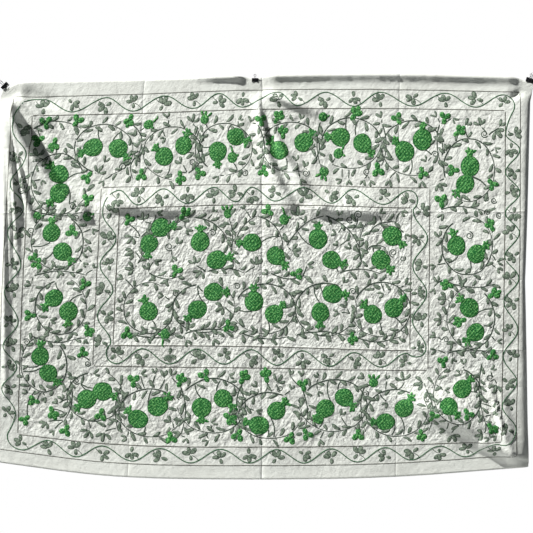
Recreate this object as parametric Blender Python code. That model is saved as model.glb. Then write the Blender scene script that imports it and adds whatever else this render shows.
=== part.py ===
# A large embroidered cotton cloth that hangs by three black foldback clips along its top edge.
# X runs along the top edge to the right, Z is up, and the embroidered face looks along -Y.
# The origin is the middle of the top edge. All sizes are in metres.

import math

import bmesh
import bpy
import numpy as np
from mathutils import Matrix, Vector

# The flat cloth, as it was cut.
CLOTH_WIDTH = 2.16
CLOTH_HEIGHT = 1.59
CLOTH_THICKNESS = 0.0016
MARGIN = 0.06
MID_U = CLOTH_WIDTH / 2

# The mesh of the cloth: where each run of steps ends, and how many steps it has. The steps are
# short by the gathered corner and beside the clips.
COLUMN_RUNS = (
    (0.06, 5), (0.40, 20), (0.96, 8), (1.14, 10), (1.70, 7), (2.06, 8), (2.16, 6),
)
ROW_RUNS = ((0.06, 4), (0.50, 20), (1.20, 10), (1.46, 6), (1.59, 4))

# How the hung cloth leans in its own plane.
LEAN_LEFT, LEAN_RIGHT = 0.050, 0.015
LEAN_PIVOT = 0.70
SHIFT = 0.028

# How high lines across the flat cloth hang: a row for each line, by its distance from the top
# edge, and its height at five places across.
LEVEL_PLACES = (0.0, 0.52, 1.06, 1.60, 2.16)
LEVEL_COLUMNS = ("down", "left", "left_middle", "middle", "right_middle", "right")
LEVELS = (
    (0.000, -0.012, -0.004, 0.012, 0.018, 0.004),
    (0.060, -0.074, -0.062, -0.044, -0.043, -0.054),
    (0.138, -0.150, -0.139, -0.122, -0.119, -0.129),
    (0.432, -0.438, -0.430, -0.418, -0.432, -0.432),
    (0.511, -0.517, -0.514, -0.499, -0.511, -0.511),
    (1.062, -1.048, -1.053, -1.057, -1.072, -1.070),
    (1.142, -1.124, -1.136, -1.142, -1.151, -1.148),
    (1.454, -1.394, -1.447, -1.456, -1.449, -1.427),
    (1.530, -1.463, -1.521, -1.530, -1.521, -1.484),
    (1.590, -1.518, -1.576, -1.586, -1.576, -1.536),
)

# The side margins roll back: the width that still shows and the depth that they turn back by,
# at four shares of the way down the cloth.
ROLL_PLACES = (0.0, 0.06, 0.50, 1.00)
ROLLS = {
    "left": {"shows": (0.034, 0.056, 0.052, 0.042), "turns": (0.0, 0.004, 0.016, 0.024)},
    "right": {"shows": (0.048, 0.034, 0.020, 0.050), "turns": (0.0, 0.022, 0.044, 0.018)},
}

# The top margin between the clips tips forward by its upper part, the foot swings back on the
# left, and the whole cloth bellies forward between top and foot.
TIP_FORWARD, TIP_DEPTH = 0.011, 0.042
FOOT_SWING = 0.085
BELLY = 0.055

# Folds, one a row: where the crest starts and ends across (x) and up (z) the hung cloth, how far
# it bows to its upper side, how far it stands out, the width at each end, the share of the width
# on its upper side, the share of its rise that is left where it ends, and the share of its length
# over which it rises.
FOLD_COLUMNS = ("x0", "z0", "x1", "z1", "bow", "rise", "width0", "width1", "steep", "tail", "head")
FOLDS = (
    (-0.975, -0.060, -0.675, -0.522, -0.047, 0.054, 0.021, 0.040, 0.60, 0.65, 0.25),
    (-0.915, -0.160, -0.625, -0.490, -0.034, -0.020, 0.038, 0.056, 1.00, 0.30, 0.25),
    (-0.974, -0.071, -0.824, -0.500, -0.016, 0.016, 0.014, 0.020, 0.85, 0.30, 0.25),
    (-0.984, -0.080, -0.930, -0.560, -0.010, 0.012, 0.014, 0.020, 0.90, 0.50, 0.25),
    (-0.968, -0.052, -0.780, -0.215, 0.006, 0.026, 0.016, 0.026, 0.70, 0.10, 0.25),
    (-0.930, -0.045, -0.740, -0.120, 0.000, -0.014, 0.024, 0.034, 1.00, 0.00, 0.25),
    (-0.640, -0.502, -0.200, -0.522, 0.000, 0.024, 0.020, 0.026, 3.00, 0.20, 0.25),
    (0.016, -0.045, 0.330, -0.155, -0.010, 0.016, 0.016, 0.026, 0.90, 0.20, 0.25),
    (0.010, -0.050, 0.110, -0.500, -0.016, 0.024, 0.018, 0.034, 0.70, 0.40, 0.25),
    (0.075, -0.230, 0.245, -0.520, -0.010, 0.022, 0.022, 0.032, 0.70, 0.40, 0.25),
    (0.180, -0.517, 0.600, -0.537, 0.000, 0.020, 0.020, 0.026, 3.00, 0.20, 0.25),
    (1.082, -0.030, 0.998, -0.086, 0.000, -0.018, 0.014, 0.012, 1.00, 0.00, 0.25),
    (0.540, -1.232, 1.010, -1.474, 0.008, 0.062, 0.038, 0.035, 2.40, 0.60, 0.42),
    (0.860, -1.432, 1.030, -1.498, 0.004, 0.024, 0.022, 0.024, 1.00, 0.80, 0.25),
    (0.955, -1.200, 1.010, -1.500, 0.010, 0.010, 0.018, 0.018, 1.00, 0.60, 0.25),
)
FOLD_STEPS = 12

# The clips: where the jaws bite, the turn of the pull from straight up, how far the top edge dips
# into the clip, and the clip's own sizes.
CENTRE_SIZES = {
    "width": 0.025, "depth": 0.0130, "spine": 0.0110, "wall": 0.0005,
    "wire": 0.0006, "handle": 0.0300, "loop": 0.0042,
}
CORNER_SIZES = {
    "width": 0.032, "depth": 0.0155, "spine": 0.0145, "wall": 0.0006,
    "wire": 0.0008, "handle": 0.0390, "loop": 0.0052,
}
CLIPS = {
    "left": {"x": -0.985, "z": -0.033, "turn": -46.0, "dip": 0.023, "sizes": CORNER_SIZES},
    "centre": {"x": 0.0, "z": -0.010, "turn": 0.0, "dip": 0.011, "sizes": CENTRE_SIZES},
    "right": {"x": 1.087, "z": -0.012, "turn": 18.0, "dip": 0.016, "sizes": CORNER_SIZES},
}
GAP = 0.0003
DIP_REACH = 0.036
GRIP_INNER, GRIP_OUTER = 0.031, 0.085
NOTCH_SHARE = 0.46
FOOT_SHARE = 0.40
CURL_STEPS = 10
CORNER_STEPS = 4
WIRE_STEPS = 6

# Colour, roughness and metallic value of each finish.
FINISHES = {
    "cotton": ((0.80, 0.81, 0.77), 0.90, 0.0),
    "black_steel": ((0.015, 0.016, 0.018), 0.32, 0.6),
    "black_wire": ((0.020, 0.020, 0.022), 0.25, 0.8),
}


def material(name):
    """The named finish as a plain Principled material."""
    made = bpy.data.materials.get(name)
    if made:
        return made
    colour, roughness, metallic = FINISHES[name]
    made = bpy.data.materials.new(name)
    made.use_nodes = True
    shader = made.node_tree.nodes["Principled BSDF"]
    shader.inputs["Base Color"].default_value = (*colour, 1.0)
    shader.inputs["Roughness"].default_value = roughness
    shader.inputs["Metallic"].default_value = metallic
    return made


def ease(low, high, value):
    """0 below low, 1 above high, and a smooth rise between."""
    share = np.clip((value - low) / (high - low), 0.0, 1.0)
    return share * share * (3.0 - 2.0 * share)


def between(values, down):
    """A value that changes from place to place down the cloth, by ROLL_PLACES."""
    return np.interp(down, ROLL_PLACES, values)


def fold_axis(fold):
    """Points along the fold's bowed crest."""
    start = np.array((fold["x0"], fold["z0"]))
    end = np.array((fold["x1"], fold["z1"]))
    along = end - start
    upper = np.array((-along[1], along[0])) / np.linalg.norm(along)
    middle = (start + end) / 2 + 2 * fold["bow"] * upper
    t = np.linspace(0.0, 1.0, FOLD_STEPS + 1)[:, None]
    return (1 - t) ** 2 * start + 2 * t * (1 - t) * middle + t**2 * end


def beside_fold(x, z, axis):
    """How far along the crest each point lies, from 0 to 1, and its distance to the upper side."""
    nearest = np.full(x.shape, np.inf)
    share = np.zeros(x.shape)
    side = np.zeros(x.shape)
    for step in range(FOLD_STEPS):
        a, b = axis[step], axis[step + 1]
        run = b - a
        length = np.linalg.norm(run)
        dx, dz = x - a[0], z - a[1]
        t = np.clip((dx * run[0] + dz * run[1]) / length**2, 0.0, 1.0)
        off = np.hypot(dx - t * run[0], dz - t * run[1])
        closer = off < nearest
        nearest = np.where(closer, off, nearest)
        share = np.where(closer, (step + t) / FOLD_STEPS, share)
        side = np.where(closer, run[0] * dz - run[1] * dx, side)
    return share, np.where(side >= 0, nearest, -nearest)


def fold_height(x, z):
    """How far all the folds together stand out at each point."""
    height = np.zeros(x.shape)
    for row in FOLDS:
        fold = dict(zip(FOLD_COLUMNS, row))
        share, off = beside_fold(x, z, fold_axis(fold))
        width = fold["width0"] + (fold["width1"] - fold["width0"]) * share
        width = width * np.where(off > 0, fold["steep"], 1.0)
        rise = ease(-0.02, fold["head"], share) * (1 - (1 - fold["tail"]) * ease(0.55, 1.0, share))
        height += fold["rise"] * rise * np.exp(-((off / width) ** 2))
    return height


def curve_through(stations, values, places):
    """A smooth curve through the values at the stations, read at each of the places."""
    stations = np.asarray(stations)
    slopes = np.gradient(values, stations, axis=0)
    step = np.clip(np.searchsorted(stations, places) - 1, 0, len(stations) - 2)
    run = stations[step + 1] - stations[step]
    t = (places - stations[step]) / run
    start = (1 + 2 * t) * (1 - t) ** 2
    turn_out = t * (1 - t) ** 2 * run
    turn_in = -(t**2) * (1 - t) * run
    if values.ndim == 1:
        near, far, out, into = values[step], values[step + 1], slopes[step], slopes[step + 1]
    else:
        own = np.arange(len(places))
        near, far = values[step, own], values[step + 1, own]
        out, into = slopes[step, own], slopes[step + 1, own]
    return start * near + (1 - start) * far + turn_out * out + turn_in * into


def level(u, v):
    """How high each point of the flat cloth hangs."""
    table = np.array(LEVELS)
    across = np.array([curve_through(LEVEL_PLACES, row[1:], u) for row in table])
    return curve_through(table[:, 0], across, v)


def spread(u, v):
    """Where a point of the flat cloth lies across and up the hung cloth, before its margins roll."""
    left = np.clip((MID_U - u) / MID_U, 0.0, 1.0)
    right = np.clip((u - MID_U) / MID_U, 0.0, 1.0)
    lean = LEAN_LEFT * ease(0.0, 0.6, left) + LEAN_RIGHT * ease(0.0, 0.9, right)
    x = u - MID_U + SHIFT - lean * (v - LEAN_PIVOT)
    z = level(u, v)
    for clip in CLIPS.values():
        z -= clip["dip"] * np.exp(-(((x - clip["x"]) / DIP_REACH) ** 2)) * (1 - ease(0.0, MARGIN, v))
    return x, z


def rolled(u, v, x):
    """Rolls the side margins back: gives the new x and how far back each point goes."""
    down = v / CLOTH_HEIGHT
    back = np.zeros(u.shape)
    for name, sign, inset in (("left", -1, u), ("right", 1, CLOTH_WIDTH - u)):
        out = np.clip(1 - inset / MARGIN, 0.0, 1.0)
        shows = between(ROLLS[name]["shows"], down)
        turns = between(ROLLS[name]["turns"], down)
        x = x + sign * (shows * np.sin(out * math.pi / 2) - MARGIN * out)
        back += turns * out**2
    return x, back


def hang(u, v):
    """The hung cloth's middle surface: x, y and z of each point of the flat cloth."""
    x, z = spread(u, v)
    down = v / CLOTH_HEIGHT
    out = fold_height(x, z)
    left = np.clip((MID_U - u) / MID_U, 0.0, 1.0)
    out -= FOOT_SWING * left**1.5 * ease(0.45, 1.1, down)
    out += BELLY * np.sin(math.pi * down)
    out += TIP_FORWARD * (1 - ease(0.0, TIP_DEPTH, v)) * ease(-0.25, 0.10, x)
    x, back = rolled(u, v, x)
    out -= back
    for clip in CLIPS.values():
        out *= ease(GRIP_INNER, GRIP_OUTER, np.hypot(x - clip["x"], z - clip["z"]))
    return x, -out, z


def stations(runs):
    """Every step along one side of the flat cloth."""
    steps = [0.0]
    for end, count in runs:
        steps.extend(np.linspace(steps[-1], end, count + 1)[1:])
    return np.array(steps)


def build_cloth():
    """The cloth as one sheet: a flat grid, hung, then given its thickness."""
    columns = stations(COLUMN_RUNS)
    rows = stations(ROW_RUNS)
    mesh = bpy.data.meshes.new("cloth")
    bm = bmesh.new()
    bmesh.ops.create_grid(bm, x_segments=len(columns) - 1, y_segments=len(rows) - 1, size=0.5)
    vertices = list(bm.verts)
    across = np.array([vertex.co.x + 0.5 for vertex in vertices]) * (len(columns) - 1)
    along = np.array([0.5 - vertex.co.y for vertex in vertices]) * (len(rows) - 1)
    u = columns[np.rint(across).astype(int)]
    v = rows[np.rint(along).astype(int)]
    for vertex, place in zip(vertices, np.column_stack(hang(u, v))):
        vertex.co = place
    bmesh.ops.triangulate(bm, faces=bm.faces, quad_method="ALTERNATE")
    bm.to_mesh(mesh)
    bm.free()
    mesh.shade_smooth()
    cloth = bpy.data.objects.new("cloth", mesh)
    cloth.data.materials.append(material("cotton"))
    bpy.context.collection.objects.link(cloth)
    solidify = cloth.modifiers.new("thickness", "SOLIDIFY")
    solidify.thickness = CLOTH_THICKNESS
    solidify.offset = 0.0
    solidify.use_even_offset = True
    return cloth


def curl_radius(sizes):
    """From the middle of the pivot wire to the middle of the wall that curls round it."""
    return sizes["wire"] + GAP + sizes["wall"] / 2


def pivot_depth(sizes):
    """How far the pivot wire lies in front of, or behind, the cloth's middle."""
    jaw = CLOTH_THICKNESS / 2 + GAP + sizes["wall"] / 2
    return jaw + curl_radius(sizes)


def half_profile(sizes):
    """Half of the clip's section, as (depth, height): the curl at the jaw, the side, the spine."""
    radius = curl_radius(sizes)
    centre = pivot_depth(sizes)
    points = []
    for step in range(CURL_STEPS + 1):
        angle = math.radians(70 - 250 * step / CURL_STEPS)
        points.append((centre + radius * math.cos(angle), radius * math.sin(angle)))
    bend = 2.5 * sizes["wall"]
    for step in range(CORNER_STEPS + 1):
        angle = math.radians(90 * step / CORNER_STEPS)
        points.append(
            (
                sizes["spine"] / 2 - bend + bend * math.cos(angle),
                sizes["depth"] - bend + bend * math.sin(angle),
            )
        )
    return points


def build_clip_body(name, sizes):
    """The sprung steel body: its section drawn as a strip, given its wall, then notched."""
    half = half_profile(sizes)
    section = half + [(-depth, height) for depth, height in reversed(half)]
    mesh = bpy.data.meshes.new(name)
    bm = bmesh.new()
    strip = [bm.verts.new((-sizes["width"] / 2, depth, height)) for depth, height in section]
    edges = [bm.edges.new(pair) for pair in zip(strip, strip[1:])]
    pulled = bmesh.ops.extrude_edge_only(bm, edges=edges)["geom"]
    moved = [part for part in pulled if isinstance(part, bmesh.types.BMVert)]
    bmesh.ops.translate(bm, verts=moved, vec=(sizes["width"], 0.0, 0.0))
    bmesh.ops.recalc_face_normals(bm, faces=bm.faces)
    bm.to_mesh(mesh)
    bm.free()
    body = bpy.data.objects.new(name, mesh)
    body.data.materials.append(material("black_steel"))
    bpy.context.collection.objects.link(body)
    solidify = body.modifiers.new("wall", "SOLIDIFY")
    solidify.thickness = sizes["wall"]
    solidify.offset = 0.0
    solidify.use_even_offset = True
    for side in (-1, 1):
        notch = body.modifiers.new("notch", "BOOLEAN")
        notch.object = build_notch_cutter(f"{name}_notch", sizes, side)
        notch.operation = "DIFFERENCE"
    return body


def build_notch_cutter(name, sizes, side):
    """A block that takes the middle of the curl away, where the handle comes out."""
    radius = curl_radius(sizes) + sizes["wall"]
    inner = CLOTH_THICKNESS / 2 + GAP + sizes["wall"] * 1.2
    outer = pivot_depth(sizes) + 2 * radius
    mesh = bpy.data.meshes.new(name)
    bm = bmesh.new()
    size = (sizes["width"] * NOTCH_SHARE, outer - inner, 2.6 * radius)
    middle = (0.0, side * (inner + outer) / 2, -0.1 * radius)
    place = Matrix.Translation(middle) @ Matrix.Diagonal((*size, 1.0))
    bmesh.ops.create_cube(bm, size=1.0, matrix=place)
    bm.to_mesh(mesh)
    bm.free()
    cutter = bpy.data.objects.new(name, mesh)
    cutter.hide_render = True
    cutter.display_type = "WIRE"
    bpy.context.collection.objects.link(cutter)
    return cutter


def handle_outline(sizes):
    """The handle's route in its own plane, as (across, up): foot, leg, neck, loop and back."""
    foot = sizes["width"] * FOOT_SHARE
    base = sizes["width"] * NOTCH_SHARE / 2 - 2.2 * sizes["wire"]
    loop = sizes["loop"]
    top = sizes["handle"] - loop
    neck = 0.55 * loop
    right = [
        (foot, 0.0),
        (base + 0.0008, 0.0),
        (base, 0.0010),
        (0.85 * base, 0.22 * top),
        (0.55 * base + 0.35 * neck, 0.50 * top),
        (neck, top - 1.05 * loop),
    ]
    arc = []
    for step in range(WIRE_STEPS + 1):
        angle = math.radians(-35 + 125 * step / WIRE_STEPS)
        arc.append((loop * math.cos(angle), top + loop * math.sin(angle)))
    half = right + arc
    return half + [(-across, up) for across, up in reversed(half[:-1])]


def smooth_route(points, steps=3):
    """Points along a curve through the given ones, with even bends."""
    padded = [points[0], *points, points[-1]]
    route = []
    for p0, p1, p2, p3 in zip(padded, padded[1:], padded[2:], padded[3:]):
        for step in range(steps):
            t = step / steps
            route.append(
                0.5 * (2 * p1 + (p2 - p0) * t + (2 * p0 - 5 * p1 + 4 * p2 - p3) * t**2
                       + (3 * p1 - p0 - 3 * p2 + p3) * t**3)
            )
    return route + [points[-1]]


def build_handle(name, sizes, side):
    """One wire handle, standing against its side of the body and reaching past the spine."""
    start = pivot_depth(sizes)
    past = sizes["spine"] / 2 + sizes["wall"] / 2 + sizes["wire"] + GAP
    lean = math.atan2(past - start + 0.0004, sizes["depth"] - 2 * sizes["wall"])
    route = []
    for across, up in handle_outline(sizes):
        depth = side * (start + up * math.sin(lean))
        route.append(Vector((across, depth, up * math.cos(lean))))
    points = smooth_route(route, steps=2)
    curve = bpy.data.curves.new(name, "CURVE")
    curve.dimensions = "3D"
    curve.bevel_depth = sizes["wire"]
    curve.bevel_resolution = 2
    curve.use_fill_caps = True
    spline = curve.splines.new("POLY")
    spline.points.add(len(points) - 1)
    for slot, point in zip(spline.points, points):
        slot.co = (*point, 1.0)
    handle = bpy.data.objects.new(name, curve)
    handle.data.materials.append(material("black_wire"))
    bpy.context.collection.objects.link(handle)
    return handle


def build_clip(name, clip):
    """A whole clip, parented to an empty that sits where its jaws bite."""
    sizes = clip["sizes"]
    bite = bpy.data.objects.new(f"{name}_clip", None)
    bpy.context.collection.objects.link(bite)
    body = build_clip_body(f"{name}_clip_body", sizes)
    front = build_handle(f"{name}_clip_front_handle", sizes, -1)
    rear = build_handle(f"{name}_clip_rear_handle", sizes, 1)
    cutters = [modifier.object for modifier in body.modifiers if modifier.type == "BOOLEAN"]
    for part in (body, front, rear, *cutters):
        part.parent = bite
    bite.location = (clip["x"], 0.0, clip["z"])
    bite.rotation_euler = (0.0, math.radians(clip["turn"]), 0.0)


def main():
    for leftover in list(bpy.data.objects):
        bpy.data.objects.remove(leftover)
    build_cloth()
    for name, clip in CLIPS.items():
        build_clip(name, clip)


main()
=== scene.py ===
import math
import random

import bmesh
import bpy
import numpy as np
from mathutils import Matrix, Vector, noise


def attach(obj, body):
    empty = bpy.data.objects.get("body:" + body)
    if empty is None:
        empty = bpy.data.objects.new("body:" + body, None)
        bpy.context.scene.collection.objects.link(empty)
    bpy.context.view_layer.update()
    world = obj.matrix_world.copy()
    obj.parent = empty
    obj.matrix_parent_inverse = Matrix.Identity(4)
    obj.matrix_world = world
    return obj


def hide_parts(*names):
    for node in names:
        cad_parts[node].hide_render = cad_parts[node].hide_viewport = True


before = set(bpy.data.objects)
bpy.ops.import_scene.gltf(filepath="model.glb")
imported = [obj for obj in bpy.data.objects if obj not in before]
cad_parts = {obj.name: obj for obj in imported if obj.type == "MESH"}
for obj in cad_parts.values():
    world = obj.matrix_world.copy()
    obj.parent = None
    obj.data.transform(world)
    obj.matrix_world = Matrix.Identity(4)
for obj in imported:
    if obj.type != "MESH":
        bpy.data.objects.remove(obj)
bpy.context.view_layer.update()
scene = bpy.context.scene
random.seed(7)
print("frame loaded:", ", ".join(sorted(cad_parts)))

# Everything on the cloth is placed in centimetres, as the hung cloth is seen from the
# front: across from the middle clip, to the right, and down from the top edge.
cm = 0.01

shot = {
    "middle": (0.0455, -0.7425),  # what the camera looks at, across and up
    "width": 2.111,  # how much it sees at the cloth
    "distance": 7.0,
    "lights": {  # the way towards each, and its softness in degrees
        "sun": {"towards": (-0.61, -0.33, 0.61), "strength": 6.85, "softness": 2.5,
                "colour": (1.0, 0.985, 0.95)},
        "rearLight": {"towards": (0.35, 0.85, 0.45), "strength": 2.2, "softness": 30.0,
                      "colour": (0.96, 0.98, 1.0)},
    },
    "fill": 0.11, "fillColour": (0.93, 0.97, 1.0),
    "floorDrop": 3.2, "floorReach": 1.8, "floorColour": (0.70, 0.70, 0.69),
}


def makeShot(values):
    camera = bpy.data.objects.new("camera", bpy.data.cameras.new("camera"))
    camera.data.sensor_width = 36
    camera.data.lens = 36 * values["distance"] / values["width"]
    across, up = values["middle"]
    camera.location = (across, -values["distance"], up)
    camera.rotation_euler = (math.pi / 2, 0, 0)
    scene.collection.objects.link(camera)
    scene.camera = camera

    for name, own in values["lights"].items():
        light = bpy.data.objects.new(name, bpy.data.lights.new(name, "SUN"))
        light.data.energy = own["strength"]
        light.data.angle = math.radians(own["softness"])
        light.data.color = own["colour"]
        light.rotation_euler = Vector(own["towards"]).to_track_quat("Z", "Y").to_euler()
        scene.collection.objects.link(light)

    world = bpy.data.worlds.new("softRoom")
    world.use_nodes = True
    nodes, links = world.node_tree.nodes, world.node_tree.links
    fill = nodes["Background"]
    fill.inputs["Color"].default_value = (*values["fillColour"], 1)
    fill.inputs["Strength"].default_value = values["fill"]
    bright = nodes.new("ShaderNodeBackground")
    bright.inputs["Color"].default_value = (1, 1, 1, 1)
    seen = nodes.new("ShaderNodeLightPath")
    mix = nodes.new("ShaderNodeMixShader")
    links.new(seen.outputs["Is Camera Ray"], mix.inputs["Fac"])
    links.new(fill.outputs["Background"], mix.inputs[1])
    links.new(bright.outputs["Background"], mix.inputs[2])
    links.new(mix.outputs["Shader"], nodes["World Output"].inputs["Surface"])
    scene.world = world
    scene.view_settings.view_transform = "Standard"

    mesh = bpy.data.meshes.new("floor")
    bm = bmesh.new()
    bmesh.ops.create_grid(bm, x_segments=8, y_segments=8, size=values["floorReach"],
                          matrix=Matrix.Translation((0, 0, -values["floorDrop"])))
    bm.to_mesh(mesh)
    bm.free()
    floor = bpy.data.objects.new("floor", mesh)
    scene.collection.objects.link(floor)
    paint = bpy.data.materials.new("paleFloor")
    paint.use_nodes = True
    shader = paint.node_tree.nodes["Principled BSDF"]
    shader.inputs["Base Color"].default_value = (*values["floorColour"], 1)
    shader.inputs["Roughness"].default_value = 0.8
    floor.data.materials.append(paint)


makeShot(shot)
print("camera, light and floor are ready")


# The cloth. Its cut, lean, tip, swing, belly, dips and grips are the solid's. The thickness, and all
# that the values below call waves, crumple or wrinkles, the lip and the hem are this cloth's own.
clothValues = {
    "width": 2.16, "height": 1.59, "margin": 0.06, "shift": 0.028,
    "thickness": 0.0010,
    "columnRuns": ((0.36, 62), (0.98, 64), (1.24, 36), (2.16, 92)),  # where runs of steps end, and their steps
    "rows": 182,
    "leanLeft": 0.050, "leanRight": 0.015, "leanPivot": 0.70,
    "tipForward": 0.011, "tipDepth": 0.042, "footSwing": 0.085, "belly": 0.055,
    "lipPlaces": (-0.26, -0.17, -0.06, 0.05), "lipForward": (0.0, 0.013, 0.015, 0.006), "lipDepth": 0.028,
    "foldSteps": 12,
    "dipReach": 0.036, "gripInner": 0.031, "gripOuter": 0.085,
    "wave": 0.0030, "waveSize": 0.16,  # slow waves of the whole cloth
    "pucker": 0.0026, "puckerSize": 0.042,  # the crumple of the stitched ground
    "drawn": 0.0042, "drawnSize": 0.024,  # level wrinkles where the stitching draws the ground in
    "drawnMiddle": (0.74, 0.70), "drawnSpread": (0.26, 0.14),
    "fine": 0.0008, "fineSize": 0.020,
    "hem": 0.014, "hemRise": 0.0007, "hemStep": 0.004,
}

# The noises of the relief: seed, how much longer one way than the other, and turn.
reliefNoise = {
    "wave": (3.1, 1.6, 0.7), "pucker": (8.3, 1.7, 0.55), "crossPucker": (21.7, 1.9, -0.75),
    "fine": (14.9, 1.0, 0.0), "patch": (61.3, 1.0, 0.0), "drawn": (33.7, 4.0, 1.50), "waver": (5.5, 1.0, 0.0),
}

# How high lines across the cloth hang: distance down the flat cloth, then height at five places.
levelPlaces = (0.0, 0.52, 1.06, 1.60, 2.16)
levels = (
    (0.000, -0.012, -0.004, 0.012, 0.018, 0.004),
    (0.060, -0.074, -0.062, -0.044, -0.043, -0.054),
    (0.138, -0.150, -0.139, -0.122, -0.119, -0.129),
    (0.432, -0.438, -0.430, -0.418, -0.432, -0.432),
    (0.511, -0.517, -0.514, -0.499, -0.511, -0.511),
    (1.062, -1.048, -1.053, -1.057, -1.072, -1.070),
    (1.142, -1.124, -1.136, -1.142, -1.151, -1.148),
    (1.454, -1.394, -1.447, -1.456, -1.449, -1.427),
    (1.530, -1.463, -1.521, -1.530, -1.521, -1.484),
    (1.590, -1.518, -1.576, -1.586, -1.576, -1.536),
)

# The rolled side margins: width that shows and depth they turn back by, at four places down.
rolls = {
    "left": {"shows": (0.034, 0.056, 0.052, 0.042), "turns": (0.0, 0.004, 0.016, 0.024)},
    "right": {"shows": (0.048, 0.034, 0.020, 0.050), "turns": (0.0, 0.022, 0.044, 0.018)},
}
rollPlaces = (0.0, 0.06, 0.50, 1.00)  # shares of the way down

clipPlaces = {
    "left": {"x": -0.985, "z": -0.033, "dip": 0.023},
    "centre": {"x": 0.0, "z": -0.010, "dip": 0.011},
    "right": {"x": 1.087, "z": -0.012, "dip": 0.016},
}

# Folds: crest from x0, z0 to x1, z1, bow, rise, width at each end, how many times as wide it is on
# the upper side, share of the rise left at the end, share of the length over which it rises.
foldColumns = ("x0", "z0", "x1", "z1", "bow", "rise", "width0", "width1", "steep", "tail", "head")
folds = (
    (-0.975, -0.060, -0.675, -0.522, -0.047, 0.054, 0.021, 0.040, 0.60, 0.65, 0.25),
    (-0.915, -0.160, -0.625, -0.490, -0.034, -0.020, 0.038, 0.056, 1.00, 0.30, 0.25),
    (-0.974, -0.071, -0.824, -0.500, -0.016, 0.016, 0.014, 0.020, 0.85, 0.30, 0.25),
    (-0.984, -0.080, -0.930, -0.560, -0.010, 0.012, 0.014, 0.020, 0.90, 0.50, 0.25),
    (-0.968, -0.052, -0.780, -0.215, 0.006, 0.026, 0.016, 0.026, 0.70, 0.10, 0.25),
    (-0.930, -0.045, -0.740, -0.120, 0.000, -0.014, 0.024, 0.034, 1.00, 0.00, 0.25),
    (-0.640, -0.502, -0.200, -0.522, 0.000, 0.024, 0.020, 0.026, 3.00, 0.20, 0.25),
    (0.016, -0.045, 0.330, -0.155, -0.010, 0.016, 0.016, 0.026, 0.90, 0.20, 0.25),
    (0.010, -0.050, 0.110, -0.500, -0.016, 0.024, 0.018, 0.034, 0.70, 0.40, 0.25),
    (0.075, -0.230, 0.245, -0.520, -0.010, 0.022, 0.022, 0.032, 0.70, 0.40, 0.25),
    (0.180, -0.517, 0.600, -0.537, 0.000, 0.020, 0.020, 0.026, 3.00, 0.20, 0.25),
    (1.082, -0.030, 0.998, -0.086, 0.000, -0.018, 0.014, 0.012, 1.00, 0.00, 0.25),
    (0.540, -1.232, 1.010, -1.474, 0.008, 0.062, 0.038, 0.035, 2.40, 0.60, 0.42),
    (0.860, -1.432, 1.030, -1.498, 0.004, 0.024, 0.022, 0.024, 1.00, 0.80, 0.25),
    (0.955, -1.200, 1.010, -1.500, 0.010, 0.010, 0.018, 0.018, 1.00, 0.60, 0.25),
)

# Small folds that the solid leaves out, in the same columns.
smallFolds = (
    (-0.986, -0.085, -0.990, -1.250, 0.004, 0.013, 0.008, 0.012, 0.80, 0.60, 0.06),
    (-0.977, -0.085, -0.960, -0.860, 0.004, 0.013, 0.007, 0.011, 0.70, 0.30, 0.08),
    (-0.968, -0.085, -0.925, -0.720, -0.004, 0.013, 0.007, 0.011, 0.70, 0.30, 0.10),
    (-0.960, -0.090, -0.865, -0.600, -0.016, 0.014, 0.008, 0.013, 0.70, 0.30, 0.12),
    (-0.895, -0.190, -0.670, -0.505, -0.036, -0.014, 0.030, 0.042, 1.00, 0.40, 0.25),
    (-0.985, -0.330, -0.975, -1.200, 0.004, 0.005, 0.010, 0.014, 1.00, 0.60, 0.25),
    (-0.955, -0.340, -0.940, -0.900, 0.006, 0.006, 0.008, 0.010, 1.00, 0.30, 0.25),
    (-0.860, -0.140, -0.640, -0.300, 0.010, 0.007, 0.012, 0.016, 0.80, 0.10, 0.25),
    (-0.780, -0.180, -0.560, -0.420, 0.010, 0.006, 0.012, 0.018, 0.80, 0.10, 0.25),
    (0.040, -0.080, 0.240, -0.190, -0.006, 0.006, 0.010, 0.014, 0.80, 0.10, 0.25),
    (0.050, -0.120, 0.200, -0.420, -0.014, 0.007, 0.012, 0.018, 0.70, 0.20, 0.25),
    (-0.640, -0.180, -0.420, -0.330, 0.006, 0.003, 0.012, 0.014, 1.00, 0.30, 0.25),
    (0.140, -0.170, 0.300, -0.330, 0.006, 0.004, 0.012, 0.014, 1.00, 0.30, 0.25),
    (0.180, -0.300, 0.330, -0.520, 0.010, 0.003, 0.012, 0.016, 1.00, 0.30, 0.25),
    (0.560, -0.020, 0.610, -0.060, 0.000, 0.004, 0.008, 0.008, 1.00, 0.60, 0.25),
    (0.925, -1.200, 0.985, -1.470, 0.004, 0.009, 0.008, 0.008, 1.00, 0.60, 0.25),
    (0.900, -1.160, 1.004, -1.480, 0.004, 0.010, 0.009, 0.008, 1.00, 0.60, 0.25),
    (0.560, -1.200, 0.700, -1.380, 0.008, 0.004, 0.012, 0.014, 1.00, 0.40, 0.25),
    (0.700, -1.120, 0.880, -1.330, 0.008, 0.004, 0.012, 0.014, 1.00, 0.40, 0.25),
    (0.880, -0.060, 0.700, -0.130, 0.004, -0.003, 0.010, 0.012, 1.00, 0.20, 0.25),
    (0.020, -0.050, 0.250, -0.120, -0.008, 0.013, 0.014, 0.020, 1.20, 0.10, 0.25),
    (0.050, -0.270, 0.142, -0.500, -0.008, 0.015, 0.016, 0.022, 0.80, 0.85, 0.60),
    (0.120, -0.290, 0.262, -0.505, -0.006, 0.015, 0.018, 0.024, 0.80, 0.85, 0.60),
    (-0.930, -0.330, -0.800, -0.700, -0.020, 0.006, 0.012, 0.018, 0.70, 0.20, 0.40),
)

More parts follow.
